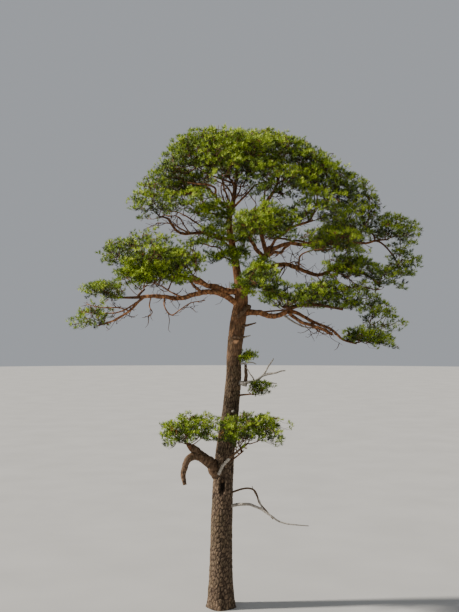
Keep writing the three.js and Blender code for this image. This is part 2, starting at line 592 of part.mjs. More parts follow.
// Where sprays may sit in a mass: evenly over the upper part of a shell inside its outline.
function sprayPlaces(mass, seed) {
  const random = seeded(seed);
  const inset = sprayLength(mass) * SHELL_INSET;
  const insetUp = sprayLength(mass) * SHELL_INSET_UP;
  const [a, b, h] = [mass.half[0] - inset, mass.half[1] - inset, mass.half[2] - insetUp];
  const phase = random() * 2 * Math.PI;
  const count = mass.places ?? PLACES;
  const places = [];
  for (let k = 0; k < count; k += 1) {
    const w = 1 - (1 - SHELL_FLOOR) * ((k + 0.5) / count) ** SHELL_EVENNESS;
    const turn = k * GOLDEN_ANGLE + phase + PLACE_JITTER * (random() - 0.5);
    const ring = Math.sqrt(1 - w * w);
    const shell = 1 - SHELL_DEPTH * random();
    const out = new THREE.Vector3(ring * Math.cos(turn), ring * Math.sin(turn), w);
    const point = new THREE.Vector3(a * out.x, b * out.y, h * out.z).multiplyScalar(shell);
    point.z += mass.rise * point.x;
    point.add(vec(mass.middle));
    const facing = new THREE.Vector3(out.x / a, out.y / b, out.z / h).normalize();
    facing.multiplyScalar(FACING_OUT).setZ(Math.max(facing.z, 0));
    facing.add(new THREE.Vector3(random() - 0.5, random() - 0.5, FACING_UP)).normalize();
    const yaw = SPRAY_TURN * (random() - 0.5);
    places.push({ point, facing, yaw, size: SPRAY_SIZES[0] + SPRAY_SIZES[1] * random() });
  }
  return places;
}

// One spray grown from a fork, as large as its place allows, or nothing where it would leave
// the mass's space or touch another limb or spray.
function growSpray(mass, walls, fork, place, others) {
  for (const scale of SPRAY_TRIES) {
    const corners = sprayCorners({ ...place, foot: fork.point, length: place.length * scale });
    if (corners.slice(0, FOOT_LEFT).every((corner) => inSpace(corner, mass, walls))) {
      const solid = solidOf(corners, SPRAY_FACES);
      const root = corners[ROOT_LEFT].clone().lerp(corners[ROOT_RIGHT], 0.5);
      const twig = root.clone().sub(fork.point);
      if (twig.length() < SHORTEST_TWIG) continue;
      const shift = twig.setLength(TWIG_FREE_FROM);
      const freePart = solidOf(
        corners.map((corner, i) => (i < FOOT_LEFT ? corner : corner.clone().add(shift))),
        SPRAY_FACES,
      );
      if (!touches(freePart, others)) return { solid, root };
    }
  }
  return null;
}

// A mass: sprays join one by one, nearest first, each on a twig from the closest fork that is
// still free, measured along the way to the stem. Each twig offers further forks.
function buildMass(mass, stem, seed) {
  const walls = wallsOf(mass);
  const full = sprayLength(mass);
  const others = obstacles.filter((other) => other.name !== mass.name);
  others.push(obstacle(mass.name, stem.solid));
  const parts = [stem.solid];
  let free = stem.forks.filter((point) => insideWalls(point, walls))
    .map((point) => ({ point, path: 0 }));
  const places = sprayPlaces(mass, seed);
  places.sort((a, b) => a.point.distanceTo(stem.crotch) - b.point.distanceTo(stem.crotch));
  for (const place of places) {
    const cost = (fork) => fork.point.distanceTo(place.point) + PATH_WEIGHT * fork.path;
    const nearest = [...free].sort((a, b) => cost(a) - cost(b)).slice(0, FORK_TRIES);
    for (const fork of nearest) {
      const length = full * place.size;
      const spray = growSpray(mass, walls, fork, { ...place, length }, others);
      if (spray) {
        parts.push(spray.solid);
        others.push(obstacle(mass.name, spray.solid));
        const path = fork.path + fork.point.distanceTo(spray.root);
        const forks = TWIG_FORKS.map((share) => fork.point.clone().lerp(spray.root, share));
        free = free.filter((other) => other !== fork);
        free.push(...forks.map((point) => ({ point, path })));
        break;
      }
    }
  }
  solids.set(mass.name, cutClear(wasm.Manifold.union(parts), mass.name));
}

// A three.js mesh from a solid.
function meshFrom(name, solid, material) {
  const { vertProperties, triVerts } = solid.getMesh();
  const geometry = new THREE.BufferGeometry();
  geometry.setAttribute('position', new THREE.BufferAttribute(vertProperties, 3));
  geometry.setIndex(new THREE.BufferAttribute(triVerts, 1));
  geometry.computeVertexNormals();
  const mesh = new THREE.Mesh(geometry, material);
  mesh.name = name;
  return mesh;
}

const paint = (color, roughness) => new THREE.MeshStandardMaterial({
  color, roughness, metalness: 0,
});
const BARK = paint('#7d6656', 0.95);
const YOUNG_BARK = paint('#a3694a', 0.9);
const DEAD_WOOD = paint('#a09a90', 0.85);
const NEEDLES = paint('#5c7a33', 0.8);

function materialFor(name) {
  if (name === 'trunk') return BARK;
  if (DEAD.test(name)) return DEAD_WOOD;
  return name.startsWith('foliage') ? NEEDLES : YOUNG_BARK;
}

buildTrunk();
BOUGHS.forEach(buildBough);
const stems = MASSES.map(buildStem);
MASSES.forEach((mass, index) => buildMass(mass, stems[index], MASS_SEED + index));

const tree = new THREE.Group();
for (const [name, solid] of solids) {
  tree.add(meshFrom(name, solid, materialFor(name)));
}

export default tree;
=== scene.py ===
# An old Scots pine: barked trunk and boughs, twigs that grow on from them by a seeded rule, and
# tufts of needles. Everything is in metres, +Z is up and the front of the tree faces -Y.

import math
from collections import namedtuple

import bpy
import numpy as np
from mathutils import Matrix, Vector


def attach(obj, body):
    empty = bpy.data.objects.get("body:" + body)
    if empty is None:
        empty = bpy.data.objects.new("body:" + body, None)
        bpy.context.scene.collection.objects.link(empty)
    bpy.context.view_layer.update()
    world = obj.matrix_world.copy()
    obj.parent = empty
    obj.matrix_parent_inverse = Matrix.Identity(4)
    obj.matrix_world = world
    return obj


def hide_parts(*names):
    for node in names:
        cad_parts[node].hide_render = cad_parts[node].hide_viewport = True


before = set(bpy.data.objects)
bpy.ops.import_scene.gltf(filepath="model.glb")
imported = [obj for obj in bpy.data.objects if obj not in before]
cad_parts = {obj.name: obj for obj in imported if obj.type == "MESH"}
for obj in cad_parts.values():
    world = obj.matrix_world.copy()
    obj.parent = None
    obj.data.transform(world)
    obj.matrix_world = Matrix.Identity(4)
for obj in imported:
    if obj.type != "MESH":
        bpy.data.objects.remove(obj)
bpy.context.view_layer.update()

# Trunk: height, lean to the right, lean to the back and diameter at each level.
TRUNK_LEVELS = np.array([
    [0.0, 0.0, 0.0, 0.84],
    [1.3, 0.0, 0.0, 0.77],
    [3.0, 0.03, 0.0, 0.71],
    [4.8, 0.11, 0.0, 0.66],
    [6.5, 0.32, 0.0, 0.57],
    [7.6, 0.42, 0.0, 0.51],
    [8.4, 0.44, 0.0, 0.5],
    [9.4, 0.56, 0.0, 0.53],
    [10.3, 0.68, 0.0, 0.45],
    [11.0, 0.56, 0.02, 0.29],
    [11.6, 0.46, 0.05, 0.25],
    [12.2, 0.35, 0.08, 0.22],
    [12.8, 0.27, 0.1, 0.19],
    [13.4, 0.39, 0.1, 0.16],
    [14.2, 0.5, 0.05, 0.12],
    [15.2, 0.56, 0.0, 0.07],
])
TRUNK_TOP = 15.2
FLARE_SIZE = 0.16
FLARE_HEIGHT = 0.35
FLARE_LOBES = 4
FLARE_LOBE_SIZE = 0.45
FLARE_LOBE_TURN = 0.6

# Broken stubs on the trunk: height, direction from the right towards the back, rise, length
# and radius. Each starts inside the trunk, sags and thins.
STUBS = [
    (6.4, -1.3, 0.3, 0.2, 0.05),
    (5.7, 0.3, 0.4, 0.25, 0.04),
]
STUB_FOOT = 0.42
STUB_SAG = 0.12
STUB_TAPER = 0.45
STUB_MIDDLE = 0.6

# Boughs: name, limb that bears it, height on the trunk or share of the way along that limb,
# tip, bow, slow and quick swing, and the radii at foot and tip.
BOUGHS = [
    ("fork_right", "trunk", 10.3, (1.68, 0.3, 11.98),
     (-0.02, 0.02, 0.02), 0.03, 0, (0.15, 0.1)),
    ("bough_right_long", "fork_right", 0.93, (3.75, 0.1, 12.16),
     (-0.02, -0.15, 0.08), 0.05, 0, (0.072, 0.05)),
    ("bough_right_end", "bough_right_long", 0.97, (5.2, 0.25, 12.2),
     (0, 0, -0.06), 0.03, 0, (0.042, 0.036)),
    ("bough_crown_right", "fork_right", 0.88, (1.75, 0.0, 13.8),
     (-0.29, 0.11, 0.05), -0.03, 0, (0.08, 0.05)),
    ("bough_right_up", "fork_right", 0.97, (2.85, -0.6, 12.73),
     (-0.14, -0.09, 0.1), 0, 0, (0.05, 0.04)),
    ("bough_front", "fork_right", 0.78, (0.73, -0.85, 12.56),
     (-0.05, 0.04, 0), 0, 0, (0.075, 0.05)),
    ("bough_back_right", "fork_right", 0.82, (2.5, 2.0, 12.35),
     (0, 0, -0.12), 0.04, 0, (0.06, 0.045)),
    ("bough_right_low", "fork_right", 0.6, (3.68, -0.7, 11.2),
     (-0.04, -0.18, -0.05), 0.13, -0.1, (0.085, 0.052)),
    ("bough_lower_right", "trunk", 9.88, (2.25, -0.6, 9.86),
     (0.04, 0, -0.2), 0.05, -0.03, (0.105, 0.078)),
    ("bough_lower_right_droop", "bough_lower_right", 0.96, (3.91, -0.9, 8.9),
     (0.04, -0.02, 0.09), -0.02, 0.03, (0.062, 0.038)),
    ("bough_left_upper", "trunk", 10.35, (-0.75, -0.6, 10.84),
     (-0.02, 0, -0.04), 0.04, 0, (0.11, 0.075)),
    ("bough_left_upper_end", "bough_left_upper", 0.95, (-2.5, -0.7, 11.25),
     (0, 0, -0.1), 0.04, 0, (0.065, 0.042)),
    ("bough_left_lower", "trunk", 9.95, (-2.6, -1.05, 10.24),
     (0.06, -0.08, 0.27), 0.15, 0.06, (0.11, 0.055)),
    ("bough_left_droop", "bough_left_lower", 0.97, (-3.64, -1.1, 9.42),
     (0.06, -0.05, -0.08), 0.02, 0, (0.042, 0.032)),
    ("bough_left_crown", "trunk", 12.2, (-1.76, -0.15, 12.9),
     (-0.08, 0.04, -0.16), 0.17, -0.07, (0.06, 0.04)),
    ("bough_left_high", "trunk", 13.25, (-0.5, -0.1, 13.95),
     (-0.05, 0, 0), -0.03, 0.03, (0.05, 0.04)),
    ("bough_back_left", "trunk", 10.4, (-1.1, 1.8, 10.98),
     (0, 0.1, -0.05), 0.04, 0, (0.07, 0.045)),
    ("bough_low_left", "trunk", 4.12, (-0.98, -0.5, 5.33),
     (-0.02, 0, 0.03), 0, 0, (0.19, 0.12)),
    ("dead_limb_low_left", "bough_low_left", 0.72, (-1.28, -0.75, 4.15),
     (-0.2, -0.1, 0.2), 0, 0, (0.085, 0.045)),
    ("dead_limb_low_right", "trunk", 3.2, (2.86, -0.7, 2.81),
     (-0.04, -0.15, 0.22), 0.18, 0, (0.065, 0.014)),
    ("dead_limb_lower_right", "bough_lower_right", 0.85, (3.4, -0.95, 9.15),
     (-0.07, -0.06, -0.11), -0.02, 0, (0.035, 0.014)),
    ("dead_snag", "trunk", 7.42, (1.74, -0.4, 8.24),
     (0.15, -0.06, -0.26), -0.02, 0.03, (0.07, 0.018)),
]
LIMB_SAMPLES = 201
BOUGH_SEED = 101
KINK = 0.012
KINK_TURNS = np.array([15, 19, 12])
COLLAR_SIZE = 0.25
COLLAR_LENGTH = 0.12
TAPER_POWER = 0.85

# Short side branches of the dead limbs: limb, share of the way along it, tip and radius.
DEAD_BRANCHES = [
    ("dead_limb_low_right", 0.5, (1.03, -0.3, 4.03), 0.03),
    ("dead_snag", 0.62, (2.12, -0.5, 7.84), 0.045),
    ("dead_snag", 0.42, (0.82, -0.2, 7.95), 0.028),
]
BRANCH_BEND = 0.12
BRANCH_RIPPLE = 0.4
BRANCH_TAPER = 0.6

# Crooked inner limbs that fan out below the dome and in the crown's gaps, and bare twigs that
# hang from the boughs: the limb that bears each, its height on the trunk or share of the way
# along that limb, its radii at foot and tip, and the further points it runs through.
CROWN_LIMBS = [
    ("trunk", 13.3, 0.05, 0.02, [
        (0.0, -0.3, 13.43), (-0.17, -0.45, 13.6), (-0.17, -0.5, 13.8), (-0.23, -0.5, 13.9),
        (-0.47, -0.55, 13.97), (-0.84, -0.6, 14.0), (-1.1, -0.6, 14.04)]),
    ("trunk", 13.26, 0.045, 0.02, [
        (0.28, -0.25, 13.45), (0.2, -0.45, 13.63), (0.12, -0.6, 13.8), (0.04, -0.8, 14.1)]),
    ("trunk", 13.25, 0.045, 0.018, [
        (0.66, -0.3, 13.5), (0.8, -0.45, 13.62), (0.95, -0.6, 13.76), (1.06, -0.7, 13.88),
        (1.2, -0.8, 13.95), (1.5, -0.8, 14.05)]),
    ("trunk", 13.0, 0.04, 0.016, [
        (-0.1, -0.2, 13.28), (-0.5, -0.4, 13.36), (-0.8, -0.4, 13.6), (-1.2, -0.5, 13.72)]),
    ("trunk", 13.5, 0.035, 0.014, [(0.62, -0.2, 13.8), (0.66, -0.3, 14.0), (0.8, -0.4, 14.25)]),
    ("trunk", 13.4, 0.035, 0.014, [(0.5, 0.3, 13.7), (0.75, 0.5, 13.8), (1.0, 0.6, 14.1)]),
    ("trunk", 13.1, 0.035, 0.014, [(0.1, -0.3, 13.5), (0.0, -0.5, 13.85), (0.1, -0.7, 14.15)]),
    ("trunk", 13.6, 0.035, 0.014, [(0.2, -0.3, 13.95), (-0.2, -0.4, 14.15), (-0.5, -0.5, 14.3)]),
    ("bough_crown_right", 0.5, 0.055, 0.02, [
        (1.53, -0.3, 13.45), (1.62, -0.4, 13.6), (1.76, -0.5, 13.75), (2.0, -0.5, 13.95),
        (2.1, -0.5, 14.2)]),
    ("bough_crown_right", 0.65, 0.03, 0.014, [
        (1.46, -0.3, 13.7), (1.45, -0.4, 13.87), (1.5, -0.5, 14.05), (1.36, -0.5, 14.2)]),
    ("bough_crown_right", 0.25, 0.028, 0.012, [
        (1.0, -0.5, 12.95), (1.16, -0.5, 13.3), (1.1, -0.5, 13.45), (1.0, -0.5, 13.57),
        (0.9, -0.5, 13.75)]),
    ("bough_right_up", 0.5, 0.035, 0.014, [(2.4, -0.9, 12.75), (2.35, -1.1, 13.1), (2.6, -1.2, 13.4)]),
    ("bough_right_up", 0.8, 0.03, 0.014, [(2.9, -0.9, 13.1), (3.2, -1.0, 13.3), (3.6, -1.0, 13.4)]),
    ("trunk", 11.75, 0.05, 0.02, [
        (0.27, -0.15, 11.95), (-0.02, -0.2, 12.2), (-0.4, -0.3, 12.3), (-0.75, -0.4, 12.5)]),
    ("trunk", 11.9, 0.035, 0.014, [
        (0.2, -0.3, 11.84), (0.06, -0.35, 11.75), (0.0, -0.4, 11.86), (-0.14, -0.45, 11.92),
        (-0.33, -0.5, 11.94), (-0.7, -0.6, 12.05), (-1.05, -0.7, 11.95)]),
    ("trunk", 12.1, 0.034, 0.03, [(0.6, -0.3, 12.17), (0.72, -0.6, 12.24), (0.8, -0.8, 12.26)]),
    ("trunk", 11.4, 0.03, 0.012, [(0.25, -0.3, 11.55), (0.05, -0.5, 11.6), (-0.1, -0.6, 11.8)]),
    ("bough_left_crown", 0.35, 0.03, 0.014, [
        (-0.7, -0.3, 12.65), (-1.0, -0.5, 12.85), (-1.4, -0.6, 13.05), (-1.75, -0.6, 13.1)]),
    ("bough_left_crown", 0.45, 0.028, 0.012, [
        (-1.0, -0.4, 12.4), (-1.2, -0.5, 12.62), (-1.4, -0.6, 12.9), (-1.9, -0.6, 12.95)]),
    ("bough_left_crown", 0.6, 0.03, 0.012, [
        (-1.35, -0.3, 12.55), (-1.65, -0.4, 12.7), (-2.1, -0.5, 12.72)]),
    ("bough_left_lower", 0.42, 0.05, 0.04, [(-0.92, -0.75, 10.68), (-0.9, -0.72, 10.9)]),
    ("bough_left_lower", 0.78, 0.026, 0.012, [
        (-1.82, -1.0, 9.95), (-1.6, -1.05, 9.66), (-1.32, -1.05, 9.83), (-0.98, -1.05, 10.05),
        (-0.5, -1.0, 10.14)]),
    ("bough_left_lower", 0.9, 0.024, 0.012, [
        (-2.3, -1.15, 9.95), (-2.2, -1.2, 9.75), (-2.32, -1.25, 9.6)]),
    ("bough_left_lower", 0.95, 0.03, 0.012, [
        (-2.9, -1.1, 9.95), (-3.3, -1.1, 9.75), (-3.8, -1.1, 9.72), (-4.5, -1.15, 9.75)]),
    ("bough_left_lower", 0.6, 0.03, 0.012, [(-1.6, -1.1, 10.4), (-1.9, -1.2, 10.6), (-2.2, -1.3, 10.7)]),
    ("bough_left_droop", 0.45, 0.024, 0.01, [(-3.3, -1.3, 9.9), (-3.8, -1.35, 9.9), (-4.3, -1.3, 10.0)]),
    ("bough_lower_right", 0.95, 0.06, 0.045, [
        (2.33, -0.8, 9.64), (2.6, -0.9, 9.45), (2.95, -0.98, 9.33), (3.3, -1.0, 9.2),
        (3.62, -0.92, 9.03)]),
    ("bough_right_low", 0.7, 0.022, 0.008, [
        (3.1, -1.0, 10.95), (3.3, -1.1, 10.7), (3.6, -1.1, 10.6), (4.0, -1.1, 10.45)]),
    ("bough_right_low", 0.9, 0.024, 0.008, [(3.65, -1.0, 10.95), (3.8, -1.1, 10.75), (4.2, -1.1, 10.55)]),
    ("bough_right_low", 0.97, 0.024, 0.008, [(4.1, -0.9, 10.9), (4.4, -1.0, 10.65), (4.9, -1.0, 10.5)]),
    ("bough_lower_right_droop", 0.4, 0.026, 0.012, [
        (3.1, -1.0, 9.2), (3.35, -1.1, 9.05), (3.6, -1.2, 9.1)]),
    ("bough_right_low", 0.55, 0.035, 0.014, [(2.6, -0.95, 11.6), (2.95, -1.1, 11.75), (3.3, -1.2, 11.8)]),
    ("bough_right_low", 0.35, 0.032, 0.012, [
        (2.1, -0.8, 11.28), (2.4, -0.95, 11.4), (2.7, -1.05, 11.22)]),
]

# Groups of small sprays on the boughs, the inner limbs and the trunk between two heights: the
# middle and half sizes of each group, and how many sprays it has.
INNER_SPRAYS = [
    ((-1.95, -1.35, 10.9), (1.25, 0.35, 0.38), 26),
    ((-2.55, -1.5, 11.1), (0.8, 0.3, 0.35), 12),
    ((-0.75, -0.75, 11.9), (0.85, 0.4, 0.5), 9),
    ((-0.35, -0.9, 12.98), (0.75, 0.3, 0.33), 16),
    ((-0.2, -0.65, 12.45), (0.45, 0.25, 0.38), 9),
    ((0.55, -0.75, 11.65), (0.42, 0.25, 0.4), 10),
    ((-0.05, -0.7, 11.5), (0.2, 0.15, 0.15), 3),
    ((0.9, 0.05, 8.25), (0.14, 0.15, 0.15), 5),
    ((0.95, -0.8, 10.62), (0.42, 0.3, 0.3), 9),
    ((1.75, -1.3, 10.45), (0.5, 0.4, 0.25), 9),
    ((1.3, -0.9, 11.35), (0.35, 0.3, 0.3), 5),
    ((0.75, -0.9, 12.2), (0.3, 0.3, 0.25), 5),
]
INNER_SPRAY_SIZE = 0.5
INNER_SPRAY_ROOT = 0.6
INNER_TWIG_SAG = 0.1
INNER_TWIG_RADII = (0.015, 0.007)
BARE_TRUNK = (7, 12.5)

# Bare side twigs on the boughs and inner limbs: twigs per metre, the share of a limb's foot
# without them, how much they spread and follow the limb, their least and further length, sag,
# radius at the foot with what it loses towards the tip, and least and further share of that.
SIDE_TWIGS = 7.0
SIDE_TWIG_START = 0.25
SIDE_TWIG_SPREAD = np.array([1, 1, 0.8])
SIDE_TWIG_ALONG = 0.9
SIDE_TWIG_LENGTHS = (0.2, 0.45)
SIDE_TWIG_SAG = 0.2
SIDE_TWIG_RADII = (0.011, 0.007)
SIDE_TWIG_SIZES = (0.8, 0.5)

# Twigs that fork from side twigs: the share that have one, its spread and its length for theirs.
FORKED_SIDE_TWIGS = 0.6
FORKED_SPREAD = 0.8
FORKED_LENGTH = 0.6

# The low left bough and the thick dead arm that arches down from it, as lines through given
# points, with the radii at foot and tip.
SHAPED_LIMBS = {
    "bough_low_left": ([(0.08, 0.0, 4.2), (-0.2, -0.12, 4.52), (-0.48, -0.24, 4.88),
                        (-0.78, -0.4, 5.18), (-0.98, -0.5, 5.33)], (0.23, 0.12)),
    "dead_limb_low_left": ([(-0.4, -0.25, 4.82), (-0.6, -0.4, 4.98), (-0.82, -0.48, 5.04),
                            (-1.02, -0.56, 4.97), (-1.17, -0.61, 4.78), (-1.22, -0.65, 4.56),
                            (-1.21, -0.68, 4.34), (-1.17, -0.7, 4.14)], (0.17, 0.065)),
}

# Small limbs and stubs with dark bark: a limb that crosses in front of the trunk, a twisted side
# branch of the lowest dead limb, and stubs higher up.
DARK_LIMBS = [
    ([(0.28, -0.62, 4.99), (0.54, -0.72, 5.22), (0.87, -0.85, 5.5)], (0.044, 0.03)),
    ([(0.33, -0.1, 3.78), (0.8, -0.25, 3.95), (1.08, -0.3, 3.9), (1.2, -0.35, 3.7),
      (1.27, -0.35, 3.5), (1.47, -0.4, 3.26), (1.72, -0.45, 2.98)], (0.035, 0.024)),
    ([(0.7, -0.15, 9.31), (0.98, -0.28, 9.36), (1.17, -0.32, 9.42)], (0.055, 0.02)),
    ([(0.4, -0.24, 8.94), (0.6, -0.34, 8.92), (0.8, -0.37, 8.95)], (0.05, 0.035)),
    ([(0.82, -0.12, 7.45), (0.84, -0.13, 7.75), (0.82, -0.12, 8.04)], (0.065, 0.045)),
]

# Bare silvery ones: the foot of the limb that crosses the trunk, the tip of a stub, a stub, and
# the straight lower part of the snag with the lump at its foot.
PALE_LIMBS = [
    ([(-0.07, -0.31, 4.42), (0.03, -0.45, 4.65), (0.17, -0.55, 4.85), (0.3, -0.63, 5.0)],
     (0.058, 0.045)),
    ([(0.77, -0.37, 8.94), (0.88, -0.39, 8.97), (0.98, -0.39, 9.0)], (0.034, 0.015)),
    ([(0.62, -0.1, 8.05), (1.0, -0.2, 8.1), (1.17, -0.2, 8.05)], (0.034, 0.015)),
    ([(0.7, -0.2, 7.42), (1.1, -0.35, 7.46), (1.45, -0.42, 7.45), (1.84, -0.45, 7.42)],
     (0.04, 0.014)),
    ([(0.62, -0.15, 7.43), (0.74, -0.22, 7.38), (0.86, -0.24, 7.34)], (0.07, 0.05)),
]

# The burl where the lowest right bough leaves the trunk.
BURL = [(0.56, -0.3, 9.6), (0.63, -0.34, 9.68), (0.72, -0.33, 9.8), (0.84, -0.25, 9.92),
        (0.94, -0.1, 9.95)]
BURL_RADII = (0.055, 0.085)
BURL_BUMPS = 0.16

# Trunk mesh: sides, and steps up to the height where the bark grows finer and above it.
TRUNK_SIDES = 112
TRUNK_STEP_LOW = 0.024
TRUNK_STEP_HIGH = 0.05
STEP_CHANGE = 8

# Bark of the trunk: plates parted by fissures, thin flakes, slow swells and fine grain. It is old
# up to the first height and thin and orange from the second, and flatter close to the cut at the
# ground. A pattern has a seed, a number of waves, and its longest and shortest wave.
PLATES_AROUND = 25
PLATE_HEIGHT = 0.17
PLATE_SWAY = 0.35
PLATE_RISE = 0.009
FISSURE_DEPTH = 0.019
FISSURE_WIDTH = 0.3
THIN_BARK_SHARE = 0.12
THIN_BARK_DARK = 0.25
FLAKE_RISE = 0.004
SWELLS = 0.02
GRAIN = 0.0025
OLD_BARK_TOP = (6.4, 12.2)
PLATE_SEED = 12
SWAY_PATTERN = (11, 6, 1.3, 0.35)
SWELL_PATTERN = (13, 8, 2.2, 0.4)
GRAIN_PATTERN = (14, 14, 0.3, 0.06)
CUT_FADE = 0.05
CUT_RELIEF = 0.3

# Spots on the trunk, the hollow and the knot wound: place, half sizes, share that is flat,
# depth, how much wider one side is, and the rise, place and width of the rim. The inside of the
# hollow is coloured near-black as painted shade.
Spot = namedtuple("Spot", "angle height half_angle half_height flat depth skew rim rim_out rim_width")
HOLLOW = Spot(-1.62, 4.08, 0.36, 0.4, 0.45, 0.1, 0.35, 0.018, 1.05, 0.2)
KNOT_WOUND = Spot(-1.5, 8.8, 0.42, 0.065, 0.6, 0.01, 0, 0.012, 1.1, 0.25)

# Bark of the limbs: bumps, flakes and grooves as shares of the radius, how far the middle line
# wanders in waves of three lengths, and patterns as above, without their seeds.
LIMB_STEP = 0.035
LIMB_SIDES = 22
LIMB_BUMPS = 0.085
LIMB_FLAKES = 0.035
LIVE_GROOVES = 0.012
DEAD_GROOVES = 0.03
LIMB_WANDER = 0.16
LIMB_WAVES = (0.9, 0.43, 0.21)
BUMP_PATTERN = (7, 0.7, 0.12)
FLAKE_PATTERN = (10, 0.16, 0.045)
GROOVE_PATTERN = (6, 2.5, 0.8)
GROOVES_AROUND = 6

# All such patterns: waves round a limb at most, how fast the finer ones fade, and a scale that
# brings the sum to about one.
RIPPLE_LOBES = 9
RIPPLE_FADE = 2.2
RIPPLE_SCALE = 0.6

BUMP_STRENGTH = 0.6

# Greens from dark to pale, and the brown of old needles. The dark ones are painted shade for
# the inside and underside of the crown, the pale ones painted light on its sunlit tops along
# with the fresh colour of its youngest shoots.
# Each is duller in some places and fresher in others.
GREENS = [
    (20, 26, 6), (45, 57, 12), (79, 98, 20), (115, 139, 28), (151, 174, 40), (182, 202, 64),
    (126, 92, 36),
]
DULL = (0.86, 0.88, 0.95)
FRESH = (1.1, 1.07, 1.0)

# A tuft's place among the greens: the middle one; what its level in the mass adds, as painted
# light on high tufts and painted shade on low ones; what its depth in the crown adds, as painted
# shade inside; what its way up adds, as painted light on tufts that face up; what the ragged
# waves add, as painted shade where the crown's edge draws in; and what chance adds. Small
# inner sprays have a middle and a chance of their own. Last comes the share of tufts with old
# needles.
GREEN_MIDDLE = 2.65
GREEN_BY_LEVEL = 0.9
GREEN_BY_DEPTH = -0.85
GREEN_BY_WAY = 0.6
GREEN_BY_WAVES = -0.3
GREEN_CHANCE = 0.45
INNER_GREEN_MIDDLE = 2.95
INNER_GREEN_CHANCE = 0.5
OLD_TUFTS = 0.012

# Masses of foliage: name, limb that bears it, height where that is the trunk, middle, half
# sizes and how far it rises for each metre to the right.
Mass = namedtuple("Mass", "name bearer height middle half rise")
MASSES = [Mass(name, bearer, at, np.array(middle), np.array(half), rise)
          for name, bearer, at, middle, half, rise in [
    ("top_left", "trunk", 14.1, (-1.05, -0.1, 15.05), (1.1, 1.35, 0.86), 0.3),
    ("top_front", "trunk", 13.5, (0.46, -1.45, 14.62), (1.15, 1.2, 1.02), 0),
    ("top_back", "trunk", 14.6, (0.66, 1.45, 15.35), (1.3, 1.4, 0.86), 0),
    ("top_right", "bough_crown_right", 1, (2.1, 0.2, 15.05), (1.15, 1.4, 0.86), -0.15),
    ("right_shoulder", "bough_right_up", 1, (3.4, -0.2, 14.2), (1.15, 1.4, 0.82), -0.3),
    ("right_flank", "bough_right_end", 1, (4.6, 0.4, 13.55), (0.95, 1.3, 0.76), -0.3),
    ("heart_right", "bough_crown_right", 1, (1.95, -1.8, 13.8), (1.05, 1.15, 0.6), 0),
    ("left_shoulder", "bough_left_high", 1, (-1.35, 0.9, 14.15), (1.05, 1.3, 0.55), 0),
    ("left_tip", "bough_left_crown", 1, (-2.35, -0.3, 13.4), (0.82, 1.05, 0.76), 0),
    ("left_inner", "trunk", 12.9, (-0.95, -1.4, 13.28), (0.88, 1.0, 0.44), 0),
    ("centre_front", "bough_front", 1, (1.33, -2.1, 12.45), (1.12, 1.1, 0.62), 0),
    ("right_inner", "bough_right_up", 1, (3.05, -1.7, 12.95), (1.02, 1.15, 0.56), 0),
    ("right_mid", "bough_right_long", 1, (4.35, -0.3, 12.68), (1.05, 1.3, 0.5), 0),
    ("right_mid_low", "bough_right_long", 1, (3.6, -1.5, 11.92), (1.0, 1.05, 0.42), 0),
    ("right_tip", "bough_right_end", 1, (5.9, -0.2, 12.48), (0.88, 1.15, 0.52), 0),
    ("right_tip_low", "bough_right_end", 1, (6.25, 0.5, 11.5), (0.6, 1.0, 0.62), 0),
    ("right_low", "bough_right_low", 1, (4.2, -0.9, 11.15), (1.02, 1.1, 0.46), 0.1),
    ("right_low_outer", "bough_right_low", 1, (5.65, -0.2, 10.82), (0.82, 1.0, 0.46), 0),
    ("fork_front", "trunk", 10.65, (1.25, -1.7, 10.84), (0.82, 1.0, 0.56), 0),
    ("fork_low", "bough_lower_right", 1, (1.85, -1.4, 10.15), (0.78, 0.88, 0.38), 0),
    ("left_mid_outer", "bough_left_upper_end", 1, (-3.4, -0.4, 11.62), (0.82, 1.15, 0.56), 0.1),
    ("left_mid", "bough_left_upper_end", 1, (-2.15, -1.2, 11.75), (0.95, 1.2, 0.66), 0),
    ("left_mid_inner", "bough_left_upper", 1, (-1.05, -1.2, 11.28), (0.68, 1.0, 0.48), 0),
    ("left_low_mid", "bough_left_lower", 1, (-2.5, 0.3, 10.93), (1.3, 1.05, 0.42), 0),
    ("left_low_outer", "bough_left_lower", 1, (-3.8, -1.2, 10.42), (0.84, 0.9, 0.38), 0),
    ("left_droop", "bough_left_droop", 1, (-4.25, -0.9, 9.5), (0.88, 0.85, 0.5), 0.25),
    ("lower_right_inner", "bough_lower_right", 1, (3.1, -1.5, 10.26), (0.88, 0.98, 0.46), 0),
    ("lower_right_mid", "bough_lower_right", 1, (4.45, -0.7, 10.1), (1.0, 1.05, 0.5), -0.1),
    ("lower_right_outer", "bough_lower_right_droop", 1, (5.4, 0.2, 9.5), (0.82, 0.9, 0.52), -0.2),
    ("lower_right_droop", "bough_lower_right_droop", 1, (4.8, -1.1, 8.82), (1.05, 0.9, 0.44), -0.22),
    ("low_left", "bough_low_left", 1, (-1.15, -1.0, 5.89), (1.0, 1.05, 0.6), 0.1),
    ("low_right", "trunk", 4.7, (1.08, -1.0, 5.88), (1.25, 1.05, 0.72), 0),
    ("snag", "trunk", 6.95, (1.3, -0.45, 7.25), (0.58, 0.55, 0.3), 0),
    ("back_left", "bough_back_left", 1, (-2.1, 2.4, 11.6), (1.2, 1.3, 0.62), 0),
    ("back_centre", "bough_back_right", 1, (1.2, 2.6, 12.9), (1.2, 1.25, 0.64), 0),
    ("back_right", "bough_back_right", 1, (4.1, 2.3, 12.4), (1.25, 1.35, 0.7), 0),
    ("back_low", "trunk", 9.6, (2.9, 1.9, 10.15), (1.15, 1.15, 0.4), 0),
]]

# The parts of the crown whose twigs and needles are joined, with the masses in each.
REGIONS = {
    "top": MASSES[0:4] + MASSES[7:10],
    "right": MASSES[4:7] + MASSES[10:16],
    "lower_right": MASSES[16:20] + MASSES[26:30],
    "left": MASSES[20:26],
    "back_and_low": MASSES[30:37],
}

